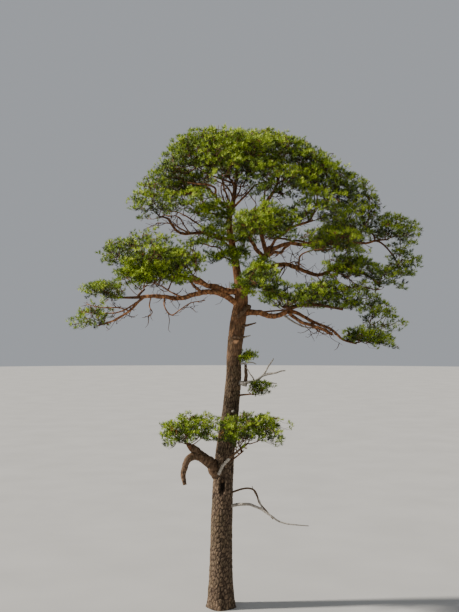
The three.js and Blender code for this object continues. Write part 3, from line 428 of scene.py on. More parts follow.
# Places for sprays: tried evenly over a shell just inside a mass's outline, from its top down
# to a floor below its middle, and kept where they are far enough apart. Sky shows through the
# open masses.
MASS_SEED = 701
PLACES = 230
PLACES_APART = 0.29
OPEN_APART = 0.41
OPEN_MASSES = {
    "left_tip", "left_inner", "left_mid_inner", "left_low_mid", "left_droop", "left_mid_outer",
    "left_mid", "right_tip", "right_flank", "right_inner", "right_tip_low", "right_mid", "right_mid_low",
    "right_low_outer", "fork_low", "heart_right", "lower_right_mid", "lower_right_outer", "back_low",
}
SPRAY_SHARE = 1.04
LONGEST_SPRAY = 1.3
SHELL_INSET = 0.1
SHELL_DEPTH = 0.42
SHELL_FLOOR = -0.8
SHELL_EVENNESS = 1.1
DEPTH_POWER = 1.6
RAY_STEPS = np.arange(0.3, 1.7, 0.025)[:, None]
PLACE_JITTER = 0.3
FACING_OUT = 0.7
FACING_UP = 1.2
SPRAY_TURN = 0.8
SPRAY_SIZES = (0.88, 0.24)
SPRAY_ROOT = 0.46

# Neighbouring masses merge: each adds a weight that fades to nothing this far out from its
# ellipsoid, and the crown ends where the sum falls to that of a lone mass at its edge. Places
# that a wall stops deep inside the crown are left empty. Waves across the crown make its edge
# ragged.
RAGGED_WAVES = np.array([[9.1, 2.3, 1.7], [-3.1, 8.3, 4.9], [4.3, -5.1, 10.7], [14.3, -6.1, -8.9]])
RAGGED_PHASES = np.array([0.5, 2.1, 4.2, 1.3])
RAGGED_SIZE = 0.13
LEAST_WEIGHT = 1.02
MERGE_REACH = 1.8
MERGE_EDGE = 0.9
DEEP_INSIDE = 3.9
WALL_OVERLAP = 0.03

# Stems, from which the twigs of a mass fork.
STEM_DROP = 0.5
STEM_SHORT_BY = 0.45
STEM_LEAST_REACH = 0.55
STEM_BEND = 0.3
STEM_SUNK = 0.05
STEM_RINGS = 14
STEM_FIT = 0.93
STEM_TAPER = 0.55
TRUNK_STEM_RADIUS = 0.04
LEAST_STEM_RADIUS = 0.022
STEM_FORKS = (0.5, 0.6, 0.7, 0.8, 0.9, 0.96)
TWIG_FORKS = (0.72, 0.6, 0.48)
PATH_WEIGHT = 0.4
GOLDEN_ANGLE = math.pi * (3 - math.sqrt(5))
RANDOM_TURN = 6.28

# Twigs, which thicken with what they bear, and the short shoots on them. Bends and sags are
# shares of the length.
TWIG_SEED = 20251
TWIG_SHARES = np.linspace(0, 1, 5)
TWIG_BEND = 0.3
TWIG_KINK = 0.12
TWIG_SAG = 0.08
TWIG_TIP_RADIUS = 0.0075
TWIG_GROWTH = 0.43
SHOOT_BEND = 0.3
SHOOT_SAG = 0.1
SHOOT_RADII = (TWIG_TIP_RADIUS, 0.0048, 0.003)
TWIG_FOOT_EXTRA = 0.003

# Pads: how large each is for its spray, how its clusters lie in a spiral on a low dome, and how
# much paler or darker a pad and a cluster may be.
PAD_SIZE = 0.66
PAD_REACH = 0.52
PAD_EDGE = 0.55
PAD_DOME = 0.1
PAD_UNEVENNESS = 0.05
PAD_TONE = 0.5
CLUSTERS = 5
CLUSTER_START = 0.35
CLUSTER_TONE = 0.6

# Tufts in a spiral round each cluster: how far out and up they sit, how much aside, up, outward
# and at random they point, their least and further size, and how much paler the high ones are,
# as painted light on the tops of clusters.
TUFTS = 5
TUFT_START = 0.3
TUFT_SPREAD = 0.12
TUFT_REACHES = (0.8, 0.4)
TUFT_LIFT = 0.02
TUFT_RISE = 0.035
TUFT_ASIDE = 0.8
TUFT_UP = 0.75
TUFT_OUTWARD = 0.3
TUFT_CHANCE = 0.28
TUFT_SIZES = (0.82, 0.36)
HIGH_TUFT_LIGHT = 9

# Pairs of needles along the shoot of each tuft: their least and further angle to it in degrees
# and length, with the spread of both.
PAIRS = 9
PAIR_SPREAD = 0.16
SHOOT_LENGTH = 0.09
WIDEST_ANGLE = 1.5
NEEDLE_ANGLES = (24, 58)
NEEDLE_ANGLE_STEP = 0.618
NEEDLE_ANGLE_CHANCE = 0.14
NEEDLE_LENGTH = 0.098
NEEDLE_LENGTHS = (0.85, 0.3)
NEEDLE_WIDTH = 0.013
NEEDLE_TWIST = 0.35

# Camera, floor and light.
CAMERA_PLACE = Vector((0.285, -30.0, 9.2))
CAMERA_AIM = Vector((0.285, 0.0, 9.983))
LENS = 52.68
SENSOR = 36
FLOOR_RADIUS = 200.0
FLOOR_SIDES = 96
SKY_COLOUR = (0.86, 0.9, 0.96, 1)
SKY_STRENGTH = 0.42
SUN_COLOUR = (1.0, 0.95, 0.87)
SUN_STRENGTH = 6.6
SUN_WIDTH = 4
SUN_WAY = Vector((0.95, 0.08, -0.62))

MASK = 0xFFFFFFFF


def seeded(seed):
    """Seeded random numbers from 0 to 1, the same on every run."""
    state = seed & MASK

    def draw():
        nonlocal state
        state = (state + 0x6D2B79F5) & MASK
        mixed = ((state ^ (state >> 15)) * (state | 1)) & MASK
        mixed ^= (mixed + ((mixed ^ (mixed >> 7)) * (mixed | 61) & MASK)) & MASK
        return (mixed ^ (mixed >> 14)) / (MASK + 1)

    return draw


def unit(v):
    """Vectors of length one, along the last axis."""
    v = np.asarray(v, float)
    return v / np.maximum(np.linalg.norm(v, axis=-1, keepdims=True), 1e-9)


def smoothstep(low, high, value):
    t = np.clip((value - low) / (high - low), 0, 1)
    return t * t * (3 - 2 * t)


def lengths_along(points):
    """How far along a line each of its points lies."""
    return np.concatenate([[0], np.cumsum(np.linalg.norm(np.diff(points, axis=0), axis=1))])


def point_along(points, share):
    """Points at shares of a line's length."""
    along = lengths_along(points)
    want = np.asarray(share) * along[-1]
    return np.stack([np.interp(want, along, points[:, k]) for k in range(3)], -1)


def trunk_value(height, column):
    """One column of the trunk's levels at each height, on a smooth curve through the levels."""
    heights = TRUNK_LEVELS[:, 0]
    values = TRUNK_LEVELS[:, column]
    last = len(heights) - 1
    below = np.maximum(np.arange(last + 1) - 1, 0)
    above = np.minimum(np.arange(last + 1) + 1, last)
    slopes = (values[above] - values[below]) / (heights[above] - heights[below])
    i = np.clip(np.searchsorted(heights, height, "left") - 1, 0, last - 1)
    step = heights[i + 1] - heights[i]
    t = (height - heights[i]) / step
    a, b = values[i], values[i + 1]
    da, db = slopes[i] * step, slopes[i + 1] * step
    return a + t * da + t**2 * (3 * (b - a) - 2 * da - db) + t**3 * (2 * (a - b) + da + db)


def trunk_point(height):
    return np.array([trunk_value(height, 1), trunk_value(height, 2), height])


class Limb:
    """The middle line of a limb, with its radius along it."""

    def __init__(self, points, radius_at):
        self.points = points
        self.length = lengths_along(points)[-1]
        self.radius_at = radius_at

    def at(self, share):
        return point_along(self.points, share)

    def tangent(self, share):
        step = 0.01
        return unit(self.at(min(share + step, 1)) - self.at(max(share - step, 0)))


def bough_limb(index, foot):
    """A bough's line: straight from foot to tip, plus its bow, its swings and small kinks."""
    _, _, _, tip, bow, wave, ripple, (thick, thin) = BOUGHS[index]
    draw = seeded(BOUGH_SEED + index)
    phases = np.array([draw(), draw(), draw()]) * 2 * math.pi
    t = np.linspace(0, 1, LIMB_SAMPLES)[:, None]
    kink = KINK * np.linalg.norm(tip - foot) * np.sin(math.pi * t)
    points = foot + (tip - foot) * t + np.array(bow) * 4 * t * (1 - t)
    points = points + kink * np.sin(KINK_TURNS * t + phases)
    swing = wave * np.sin(2 * math.pi * t) + ripple * np.sin(3 * math.pi * t)
    points[:, 2] += swing[:, 0]
    length = lengths_along(points)[-1]

    def radius_at(share):
        collar = COLLAR_SIZE * thick * np.exp(-share * length / COLLAR_LENGTH)
        return thick + (thin - thick) * share**TAPER_POWER + collar

    return Limb(points, radius_at)


def branch_limb(foot, tip, radius, seed):
    """A dead limb's side branch: nearly straight, with a seeded bend."""
    draw = seeded(seed)
    lean = np.array([draw(), draw(), draw()]) - 0.5
    t = np.linspace(0, 1, LIMB_SAMPLES)[:, None]
    sway = BRANCH_BEND * np.linalg.norm(tip - foot) * (
        np.sin(math.pi * t) * lean + BRANCH_RIPPLE * np.sin(3 * math.pi * t) * lean[::-1])
    return Limb(foot + (tip - foot) * t + sway,
                lambda share: radius * (1 - BRANCH_TAPER * share))


def curve_limb(points, radii):
    """A limb through given points, on a smooth curve, thinning from foot to tip."""
    points = np.array(points, float)
    t = np.linspace(0, len(points) - 1, LIMB_SAMPLES)
    slopes = np.gradient(points, axis=0)
    i = np.minimum(t.astype(int), len(points) - 2)
    u = (t - i)[:, None]
    step = points[i + 1] - points[i]
    line = points[i] + u * slopes[i] + u**2 * (3 * step - 2 * slopes[i] - slopes[i + 1])
    line = line + u**3 * (slopes[i] + slopes[i + 1] - 2 * step)
    return Limb(line, lambda share: radii[0] + (radii[1] - radii[0]) * share)


def stub_limb(height, turn, rise, length, radius):
    """A broken stub, from inside the trunk."""
    way = np.array([math.cos(turn), math.sin(turn), rise])
    foot = trunk_point(height) + way * trunk_value(height, 3) * STUB_FOOT
    middle = foot + way * STUB_MIDDLE * length - np.array([0, 0, STUB_SAG * length])
    return curve_limb([foot, middle, foot + way * length], (radius, radius * STUB_TAPER))


# Meshes.

def mesh_of(points, faces):
    """A mesh from corner positions and a list of arrays of faces of equal size."""
    mesh = bpy.data.meshes.new("shape")
    mesh.vertices.add(len(points))
    mesh.vertices.foreach_set("co", np.ascontiguousarray(points, np.float32).ravel())
    sizes = np.concatenate([np.full(len(f), f.shape[1]) for f in faces])
    corners = np.concatenate([f.ravel() for f in faces]).astype(np.int32)
    starts = np.concatenate([[0], np.cumsum(sizes)[:-1]]).astype(np.int32)
    mesh.loops.add(len(corners))
    mesh.loops.foreach_set("vertex_index", corners)
    mesh.polygons.add(len(sizes))
    mesh.polygons.foreach_set("loop_start", starts)
    mesh.update(calc_edges=True)
    return mesh


def add_object(name, data):
    made = bpy.data.objects.new(name, data)
    bpy.context.scene.collection.objects.link(made)
    return made


def add_piece(name, mesh, slot, materials, nodes=(), smooth=True):
    """A visible piece of the tree from a mesh, with the nodes that it replaces."""
    mesh.name = name
    mesh.polygons.foreach_set("use_smooth", np.full(len(mesh.polygons), smooth))
    for material in materials:
        mesh.materials.append(material)
    piece = add_object(name, mesh)
    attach(piece, "root")
    if nodes:
        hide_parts(*nodes)


def set_attribute(mesh, name, values):
    layer = mesh.attributes.new(name, "FLOAT", "POINT")
    layer.data.foreach_set("value", np.ascontiguousarray(values, np.float32).ravel())


def grid_faces(rings, sides, first=0):
    """The four-cornered faces of a tube's side, and its two end faces."""
    ring, side = np.meshgrid(np.arange(rings - 1), np.arange(sides), indexing="ij")
    following = (side + 1) % sides
    base = first + ring * sides
    quads = np.stack([base + side, base + following,
                      base + sides + following, base + sides + side], -1).reshape(-1, 4)
    foot = first + np.arange(sides)[::-1]
    tip = first + (rings - 1) * sides + np.arange(sides)
    return quads, foot[None], tip[None]


def transported_frames(points):
    """Two directions across a line at each of its points, turned as little as possible."""
    tangents = unit(np.gradient(points, axis=0))
    across = np.zeros_like(points)
    start = np.eye(3)[np.argmin(np.abs(tangents[0]))]
    across[0] = unit(np.cross(tangents[0], start))
    for i in range(1, len(points)):
        across[i] = unit(across[i - 1] - tangents[i] * np.dot(across[i - 1], tangents[i]))
    return across, np.cross(tangents, across)


def ripples(angle, along, seed, terms, coarse, fine):
    """A smooth uneven pattern from -1 to 1 over a limb's angle and length."""
    draw = np.random.default_rng(seed)
    total, weight = 0.0, 0.0
    for k in range(terms):
        share = k / (terms - 1)
        around = int(round(1 + share * RIPPLE_LOBES * draw.random() + draw.integers(0, 2)))
        wavelength = coarse * (fine / coarse) ** share
        part = 1 / (1 + RIPPLE_FADE * share)
        phase = draw.random() * 2 * math.pi
        turn = 1 if draw.random() < 0.5 else -1
        total = total + part * np.sin(
            turn * around * angle + 2 * math.pi * along / wavelength + phase)
        weight += part
    return total / (RIPPLE_SCALE * weight)


def cell_pattern(u, v, count_u, seed):
    """Distances to the nearest and second nearest of scattered seeds on a wrapped grid, and the
    nearest seed's own random number. u runs round once in count_u cells."""
    draw = np.random.default_rng(seed)
    rows = int(v.max()) + 5
    jitter = draw.random((rows, count_u, 3))
    cell_u, cell_v = np.floor(u).astype(int), np.floor(v).astype(int)
    first, second = np.full(u.shape, 9.0), np.full(u.shape, 9.0)
    own = np.zeros(u.shape)
    for step_v in (-1, 0, 1):
        for step_u in (-1, 0, 1):
            cu, cv = cell_u + step_u, cell_v + step_v
            seed_at = jitter[(cv + 1) % rows, cu % count_u]
            distance = np.hypot(cu + seed_at[..., 0] - u, cv + seed_at[..., 1] - v)
            nearer = distance < first
            second = np.where(nearer, first, np.minimum(second, distance))
            own = np.where(nearer, seed_at[..., 2], own)
            first = np.where(nearer, distance, first)
    return first, second, own


# Trunk.

def spot_relief(spot, angle, height):
    """How far inside a spot each point of the trunk is, and how far it sinks or rises for it."""
    turn = (angle - spot.angle + math.pi) % (2 * math.pi) - math.pi
    near = turn / spot.half_angle
    up = (height - spot.height) / spot.half_height
    inside = 1 - smoothstep(spot.flat, 1.0, np.hypot(near * (1 + spot.skew * up), up))
    rim = np.exp(-((np.hypot(near, up) - spot.rim_out) / spot.rim_width) ** 2)
    return inside, spot.rim * rim - spot.depth * inside


def build_trunk():
    """The trunk with its plates, fissures and flakes of bark, its hollow, darkened inside as
    painted shade, and its knot wound.
    """
    low = np.arange(0, STEP_CHANGE, TRUNK_STEP_LOW)
    steps = int((TRUNK_TOP - STEP_CHANGE) / TRUNK_STEP_HIGH)
    heights = np.concatenate([low, np.linspace(STEP_CHANGE, TRUNK_TOP, steps)])
    angles = np.arange(TRUNK_SIDES) * 2 * math.pi / TRUNK_SIDES
    height, angle = np.meshgrid(heights, angles, indexing="ij")
    flare = FLARE_SIZE * np.exp(-height / FLARE_HEIGHT)
    lobes = 1 + FLARE_LOBE_SIZE * np.cos(FLARE_LOBES * angle + FLARE_LOBE_TURN)
    radius = trunk_value(height, 3) / 2 * (1 + flare * lobes)

    sway = PLATE_SWAY * ripples(angle, height, *SWAY_PATTERN)
    u = (angle / (2 * math.pi) * PLATES_AROUND + sway) % PLATES_AROUND
    first, second, own = cell_pattern(u, height / PLATE_HEIGHT + 1, PLATES_AROUND, PLATE_SEED)
    fissure = 1 - smoothstep(0.0, FISSURE_WIDTH, second - first)
    old = 1 - smoothstep(*OLD_BARK_TOP, height)
    relief = -FISSURE_DEPTH * fissure * (THIN_BARK_SHARE + (1 - THIN_BARK_SHARE) * old)
    relief += (own - 0.5) * (PLATE_RISE * old + FLAKE_RISE * (1 - old))
    relief += SWELLS * radius * ripples(angle, height, *SWELL_PATTERN)
    relief += GRAIN * ripples(angle, height, *GRAIN_PATTERN)

    # The hollow's mask marks where painted shade darkens its inside.
    hollow, sunk = spot_relief(HOLLOW, angle, height)
    relief += sunk
    knot, sunk = spot_relief(KNOT_WOUND, angle, height)
    relief += sunk

    fade = smoothstep(0, CUT_FADE, height)
    out = radius + relief * (fade * (1 - CUT_RELIEF) + CUT_RELIEF)
    points = np.stack([
        trunk_value(heights, 1)[:, None] + out * np.cos(angle),
        trunk_value(heights, 2)[:, None] + out * np.sin(angle),
        height,
    ], -1).reshape(-1, 3)
    mesh = mesh_of(points, grid_faces(len(heights), TRUNK_SIDES))
    dark = fissure * (THIN_BARK_DARK + (1 - THIN_BARK_DARK) * old)
    for name, values in (("fissure", dark), ("old", old), ("tint", own), ("hollow", hollow),
                         ("bare", knot)):
        set_attribute(mesh, name, values)
    add_piece("trunk_bark", mesh, "trunk_bark", [MATERIALS["trunk_bark"]], ["trunk"])


# Boughs.

def limb_mesh(limb, seed, grooves, sides=LIMB_SIDES, bumps=LIMB_BUMPS):
    """Corners of one limb with bumps, flakes and grooves along it, and its pattern of flakes."""
    rings = max(6, int(limb.length / LIMB_STEP))
    share = np.linspace(0, 1, rings)
    points = limb.at(share)
    radius = limb.radius_at(share)
    draw = np.random.default_rng(seed)
    fade = np.sin(math.pi * share)
    for direction in transported_frames(points):
        wander = sum(
            np.sin(2 * math.pi * share * limb.length / wave + draw.random() * RANDOM_TURN) / (k + 1)
            for k, wave in enumerate(LIMB_WAVES))
        points = points + direction * (LIMB_WANDER * radius * fade * wander)[:, None]
    across, over = transported_frames(points)
    angle = np.arange(sides) * 2 * math.pi / sides
    along, around = np.meshgrid(share * limb.length, angle, indexing="ij")
    bump = ripples(around, along, seed + 1, *BUMP_PATTERN)
    flake = ripples(around, along, seed + 2, *FLAKE_PATTERN)
    groove = ripples(GROOVES_AROUND * around, along, seed + 3, *GROOVE_PATTERN)
    out = radius[:, None] * (1 + bumps * bump + LIMB_FLAKES * flake + grooves * groove)
    ring = np.cos(angle)[None, :, None] * across[:, None] + (
        np.sin(angle)[None, :, None] * over[:, None])
    return points[:, None] + out[..., None] * ring, flake


def join_limbs(parts):
    """One mesh from the corners and the flakes of several limbs."""
    faces = []
    first = 0
    for corners, _ in parts:
        rings, sides, _ = corners.shape
        faces.extend(grid_faces(rings, sides, first))
        first += rings * sides
    mesh = mesh_of(np.concatenate([corners.reshape(-1, 3) for corners, _ in parts]), faces)
    set_attribute(mesh, "flake", np.concatenate([flake.ravel() for _, flake in parts]))
    return mesh


limbs = {}
inner_limbs = []


def point_on(name, at):
    return trunk_point(at) if name == "trunk" else limbs[name].at(at)


def build_boughs():
    for index, (name, bearer, at, *_) in enumerate(BOUGHS):
        shaped = name in SHAPED_LIMBS
        limb = curve_limb(*SHAPED_LIMBS[name]) if shaped else bough_limb(index, point_on(bearer, at))
        limbs[name] = limb
        dead = name.startswith("dead")
        parts = [limb_mesh(limb, 300 + index, DEAD_GROOVES if dead else LIVE_GROOVES)]
        for k, (on, share, tip, radius) in enumerate(DEAD_BRANCHES):
            if on == name:
                branch = branch_limb(limb.at(share), np.array(tip), radius, 40 + k)
                parts.append(limb_mesh(branch, 340 + k, DEAD_GROOVES, 12))
        slot = "dead_wood" if dead else "trunk_bark" if name == "bough_low_left" else "bough_bark"
        material = MATERIALS["low_bark" if shaped else slot]
        add_piece(name + "_bark", join_limbs(parts), slot, [material], [name])


def build_small_limbs():
    """The inner limbs, and the stubs and small limbs of the trunk."""
    for bearer, at, thick, thin, points in CROWN_LIMBS:
        inner_limbs.append(curve_limb([point_on(bearer, at), *points], (thick, thin)))
    dark = [curve_limb(*row) for row in DARK_LIMBS]
    pale = [curve_limb(*row) for row in PALE_LIMBS] + [stub_limb(*row) for row in STUBS]
    for name, group, slot, material, seed, grooves, sides, bumps in (
        ("crown_limbs", inner_limbs, "bough_bark", "bough_bark", 400, 0.02, 10, LIMB_BUMPS),
        ("dark_stubs", dark, "trunk_bark", "low_bark", 440, 0.05, 12, LIMB_BUMPS),
        ("pale_stubs", pale, "dead_wood", "dead_wood", 440, 0.05, 12, LIMB_BUMPS),
        ("burl", [curve_limb(BURL, BURL_RADII)], "trunk_bark", "low_bark", 470, 0.06, 16, BURL_BUMPS),
    ):
        parts = [limb_mesh(limb, seed + k, grooves, sides, bumps) for k, limb in enumerate(group)]
        add_piece(name, join_limbs(parts), slot, [MATERIALS[material]])


# Materials.

def srgb(r, g, b):
    """A colour from 0 to 255 as seen, as linear values with alpha."""
    def linear(c):
        c /= 255
        return c / 12.92 if c <= 0.04045 else ((c + 0.055) / 1.055) ** 2.4
    return (linear(r), linear(g), linear(b), 1)


class Nodes:
    """A node material being built."""

    def __init__(self, name, roughness, specular):
        self.material = bpy.data.materials.new(name)
        self.material.use_nodes = True
        self.tree = self.material.node_tree
        self.shader = self.tree.nodes["Principled BSDF"]
        self.shader.inputs["Roughness"].default_value = roughness
        self.shader.inputs["Specular IOR Level"].default_value = specular

    def node(self, kind, inputs, **values):
        """A node with its settings, and with each input set or linked."""
        made = self.tree.nodes.new(kind)
        for key, value in values.items():
            setattr(made, key, value)
        for key, value in inputs.items():
            if hasattr(value, "links"):
                self.tree.links.new(value, made.inputs[key])
            else:
                made.inputs[key].default_value = value
        return made

    def noise(self, scale, detail, roughness, tall=1):
        """Noise in the tree's own place, with its height scaled."""
        place = self.node("ShaderNodeTexCoord", {}).outputs["Object"]
        place = self.node("ShaderNodeMapping", {"Scale": (1, 1, tall), "Vector": place})
        return self.node("ShaderNodeTexNoise", {
            "Scale": scale, "Detail": detail, "Roughness": roughness,
            "Vector": place.outputs["Vector"]}).outputs["Fac"]

    def attribute(self, name):
        return self.node("ShaderNodeAttribute", {}, attribute_name=name).outputs["Fac"]

    def ramp(self, factor, stops):
        made = self.node("ShaderNodeValToRGB", {"Fac": factor})
        elements = made.color_ramp.elements
        while len(elements) < len(stops):
            elements.new(0.5)
        for element, (position, colour) in zip(elements, stops):
            element.position = position
            element.color = colour
        return made.outputs["Color"]

    def mix(self, factor, a, b, blend="MIX"):
        inputs = {0: factor, 6: a, 7: b}
        return self.node("ShaderNodeMix", inputs, data_type="RGBA", blend_type=blend).outputs[2]

    def scaled(self, value, factor, plus=0.0):
        inputs = {0: value, 1: factor, 2: plus}
        return self.node("ShaderNodeMath", inputs, operation="MULTIPLY_ADD").outputs[0]

    def flake_shaded(self, colour, share, stops):
        """A colour darkened in the sunken parts between flakes of bark and lightened on the raised
        ones: painted shade and painted highlight.
        """
        shade = self.ramp(self.scaled(self.attribute("flake"), 0.5, 0.5), stops)
        return self.mix(share, colour, shade, "MULTIPLY")

    def finish(self, colour, grain=None, distance=0.0):
        """The material, with a fine grain in its surface where that is given."""
        self.tree.links.new(colour, self.shader.inputs["Base Color"])
        if grain is not None:
            bump = self.node("ShaderNodeBump", {
                "Strength": BUMP_STRENGTH, "Distance": distance, "Height": self.noise(*grain)})
            self.tree.links.new(bump.outputs["Normal"], self.shader.inputs["Normal"])
        return self.material


def orange_bark(nodes):
    """Thin flaking bark: orange brown, with paler and redder flakes."""
    return nodes.ramp(nodes.noise(9, 6, 0.65, 0.55), [
        (0.3, srgb(70, 46, 30)), (0.46, srgb(124, 84, 54)),
        (0.58, srgb(164, 116, 78)), (0.72, srgb(206, 156, 112))])


def grey_bark(nodes):
    """Old plated bark: grey with a pink cast on the plates."""
    return nodes.ramp(nodes.noise(26, 6, 0.7, 0.4), [
        (0.3, srgb(60, 49, 38)), (0.5, srgb(102, 86, 69)), (0.7, srgb(154, 134, 114))])


def trunk_material():
    nodes = Nodes("trunk_bark", 0.93, 0.2)
    colour = nodes.mix(nodes.attribute("old"), orange_bark(nodes), grey_bark(nodes))
    tint = nodes.ramp(nodes.attribute("tint"), [
        (0.0, (0.62, 0.6, 0.6, 1)), (0.6, (1, 0.98, 0.96, 1)), (1.0, (1.25, 1.18, 1.12, 1))])
    colour = nodes.mix(0.8, colour, tint, "MULTIPLY")
    moss = nodes.scaled(nodes.noise(2.3, 5, 0.6), 2.2, -1.05)
    colour = nodes.mix(nodes.scaled(moss, 0.35), colour, srgb(96, 98, 62))
    # Fissures darken and the knot wound shows pale wood; the near-black inside the hollow is painted
    # shade.
    for part, shade in (("fissure", srgb(46, 34, 27)), ("bare", srgb(222, 172, 128)),
                        ("hollow", srgb(24, 17, 13))):
        colour = nodes.mix(nodes.attribute(part), colour, shade)
    return nodes.finish(colour, (60, 8, 0.7, 0.5), 0.012)


def bough_material():
    nodes = Nodes("bough_bark", 0.88, 0.25)
    # Sunken parts between flakes get painted shade, raised flakes painted highlights up to half as bright
    # again.
    colour = nodes.flake_shaded(orange_bark(nodes), 0.85, [
        (0.2, (0.38, 0.35, 0.33, 1)), (0.5, (1, 1, 1, 1)), (0.85, (1.5, 1.42, 1.34, 1))])
    lichen = nodes.scaled(nodes.noise(5, 5, 0.6), 2.4, -1.3)
    colour = nodes.mix(nodes.scaled(lichen, 0.5), colour, srgb(140, 134, 118))
    return nodes.finish(colour, (70, 8, 0.7), 0.008)


def low_bark_material():
    nodes = Nodes("low_bark", 0.92, 0.2)
    colour = nodes.mix(0.8, orange_bark(nodes), grey_bark(nodes))
    # Sunken parts between flakes get painted shade and raised ones a painted highlight; the whole is
    # darkened to 0.8 as painted shade.
    colour = nodes.flake_shaded(colour, 0.8, [
        (0.2, (0.3, 0.27, 0.24, 1)), (0.55, (0.8, 0.8, 0.8, 1)), (0.9, (1.15, 1.1, 1.05, 1))])
    return nodes.finish(colour, (60, 8, 0.7), 0.012)


def dead_wood_material():
    nodes = Nodes("dead_wood", 0.8, 0.25)
    colour = nodes.ramp(nodes.noise(22, 6, 0.7, 0.6), [
        (0.28, srgb(86, 78, 68)), (0.48, srgb(160, 152, 141)), (0.68, srgb(210, 204, 194))])
    # Sunken parts between flakes get painted shade.
    colour = nodes.flake_shaded(colour, 0.7, [(0.15, (0.5, 0.48, 0.46, 1)), (0.5, (1, 1, 1, 1))])
    return nodes.finish(colour, (80, 6, 0.7), 0.006)


def twig_material():
    nodes = Nodes("twig_bark", 0.85, 0.25)
    colour = nodes.ramp(nodes.noise(7, 5, 0.6), [
        (0.3, srgb(62, 44, 32)), (0.5, srgb(98, 68, 46)), (0.7, srgb(140, 98, 66))])
    return nodes.finish(colour, (90, 3, 0.6), 0.004)


def needle_material(index, green):
    """One green, a little dull in some places and fresh in others."""
    nodes = Nodes(f"needles_{index}", 0.55, 0.35)
    dull = srgb(*(c * share for c, share in zip(green, DULL)))
    fresh = srgb(*(c * share for c, share in zip(green, FRESH)))
    return nodes.finish(nodes.ramp(nodes.noise(14, 2, 0.5), [(0.35, dull), (0.65, fresh)]))


MATERIALS = {
    "trunk_bark": trunk_material(),
    "bough_bark": bough_material(),
    "low_bark": low_bark_material(),
    "dead_wood": dead_wood_material(),
    "twigs": twig_material(),
}
NEEDLES = [needle_material(index, green) for index, green in enumerate(GREENS)]


# Masses.

def walls_of(mass):
    """Planes between a mass and each neighbour: directions, and how far out each stands."""
    ways, limits = [], []
    for other in MASSES:
        if other is not mass:
            way = other.middle - mass.middle
            gap = np.linalg.norm(way)
            way = way / gap
            mine = 1 / np.linalg.norm(way / mass.half)
            theirs = 1 / np.linalg.norm(way / other.half)
            ways.append(way)
            limits.append(gap * mine / (mine + theirs))
    return np.array(ways), np.array(limits)


def merge_weight(out):
    return np.maximum(1 - (out / MERGE_REACH) ** 2, 0) ** 2


def crown_weight(points):
    """How far inside the crown each point is: the sum of all masses' weights."""
    total = 0.0
    for mass in MASSES:
        off = points - mass.middle
        level = off[..., 2] - mass.rise * off[..., 0]
        a, b, h = mass.half
        out = np.sqrt((off[..., 0] / a) ** 2 + (off[..., 1] / b) ** 2 + (level / h) ** 2)
        total = total + merge_weight(out)
    return total / merge_weight(MERGE_EDGE)


def waves_at(points):
    return np.sin(points @ RAGGED_WAVES.T + RAGGED_PHASES).sum(axis=-1)


def in_space(points, mass, walls, overlap=WALL_OVERLAP):
    """Whether each point lies inside the crown's ragged edge, on a mass's own side of its
    walls."""
    ways, limits = walls
    own = np.all((points - mass.middle) @ ways.T < limits + overlap, axis=-1)
    return own & (crown_weight(points) > LEAST_WEIGHT + RAGGED_SIZE * waves_at(points))


def spray_places(mass, walls):
    """Where sprays sit in a mass: evenly over the upper part of a shell inside its outline."""
    draw = seeded(MASS_SEED + MASSES.index(mass))
    length = min(LONGEST_SPRAY, SPRAY_SHARE * math.sqrt(mass.half[0] * mass.half[1]))
    apart = OPEN_APART if mass.name in OPEN_MASSES else PLACES_APART
    phase = draw() * 2 * math.pi
    kept, places = [], []
    for k in range(PLACES):
        w = 1 - (1 - SHELL_FLOOR) * ((k + 0.5) / PLACES) ** SHELL_EVENNESS
        turn = k * GOLDEN_ANGLE + phase + PLACE_JITTER * (draw() - 0.5)
        depth = SHELL_INSET + SHELL_DEPTH * draw() ** DEPTH_POWER
        tilt = np.array([draw() - 0.5, draw() - 0.5, FACING_UP])
        yaw = SPRAY_TURN * (draw() - 0.5)
        scale = SPRAY_SIZES[0] + SPRAY_SIZES[1] * draw()
        ring = math.sqrt(1 - w * w)
        out = np.array([ring * math.cos(turn), ring * math.sin(turn), w])
        ray = mass.half * out
        ray[2] += mass.rise * ray[0]
        line = mass.middle + RAY_STEPS * ray
        stops = np.flatnonzero(~in_space(line, mass, walls, 0.0))
        if len(stops) == 0 or stops[0] == 0:
            continue
        point = line[stops[0] - 1] - unit(ray) * depth
        if crown_weight(point) > DEEP_INSIDE:
            continue
        if kept and np.min(np.linalg.norm(np.array(kept) - point, axis=1)) < apart:
            continue
        facing = unit(out / mass.half) * FACING_OUT
        facing[2] = max(facing[2] / FACING_OUT, 0)
        kept.append(point)
        places.append((point, unit(facing + tilt), yaw, scale * length))
    return places


def stem_of(mass):
    """The stem of a mass, from its bough's tip or the trunk's axis to where its twigs spread."""
    on_trunk = mass.bearer == "trunk"
    start = trunk_point(mass.height) if on_trunk else limbs[mass.bearer].at(1)
    low = mass.middle - np.array([0, 0, STEM_DROP * mass.half[2]])
    reach = np.linalg.norm(low - start)
    share = max(STEM_LEAST_REACH, 1 - STEM_SHORT_BY * mass.half[0] / reach)
    crotch = start + (low - start) * share
    way = crotch - start
    length = np.linalg.norm(way)
    if on_trunk:
        forward = unit(np.array([way[0], way[1], STEM_BEND * length]))
    else:
        forward = limbs[mass.bearer].tangent(1)
        start = start - forward * STEM_SUNK
    bend = start + forward * STEM_BEND * length
    t = np.linspace(0, 1, 41)[:, None]
    return (1 - t) ** 2 * start + 2 * t * (1 - t) * bend + t**2 * crotch, crotch


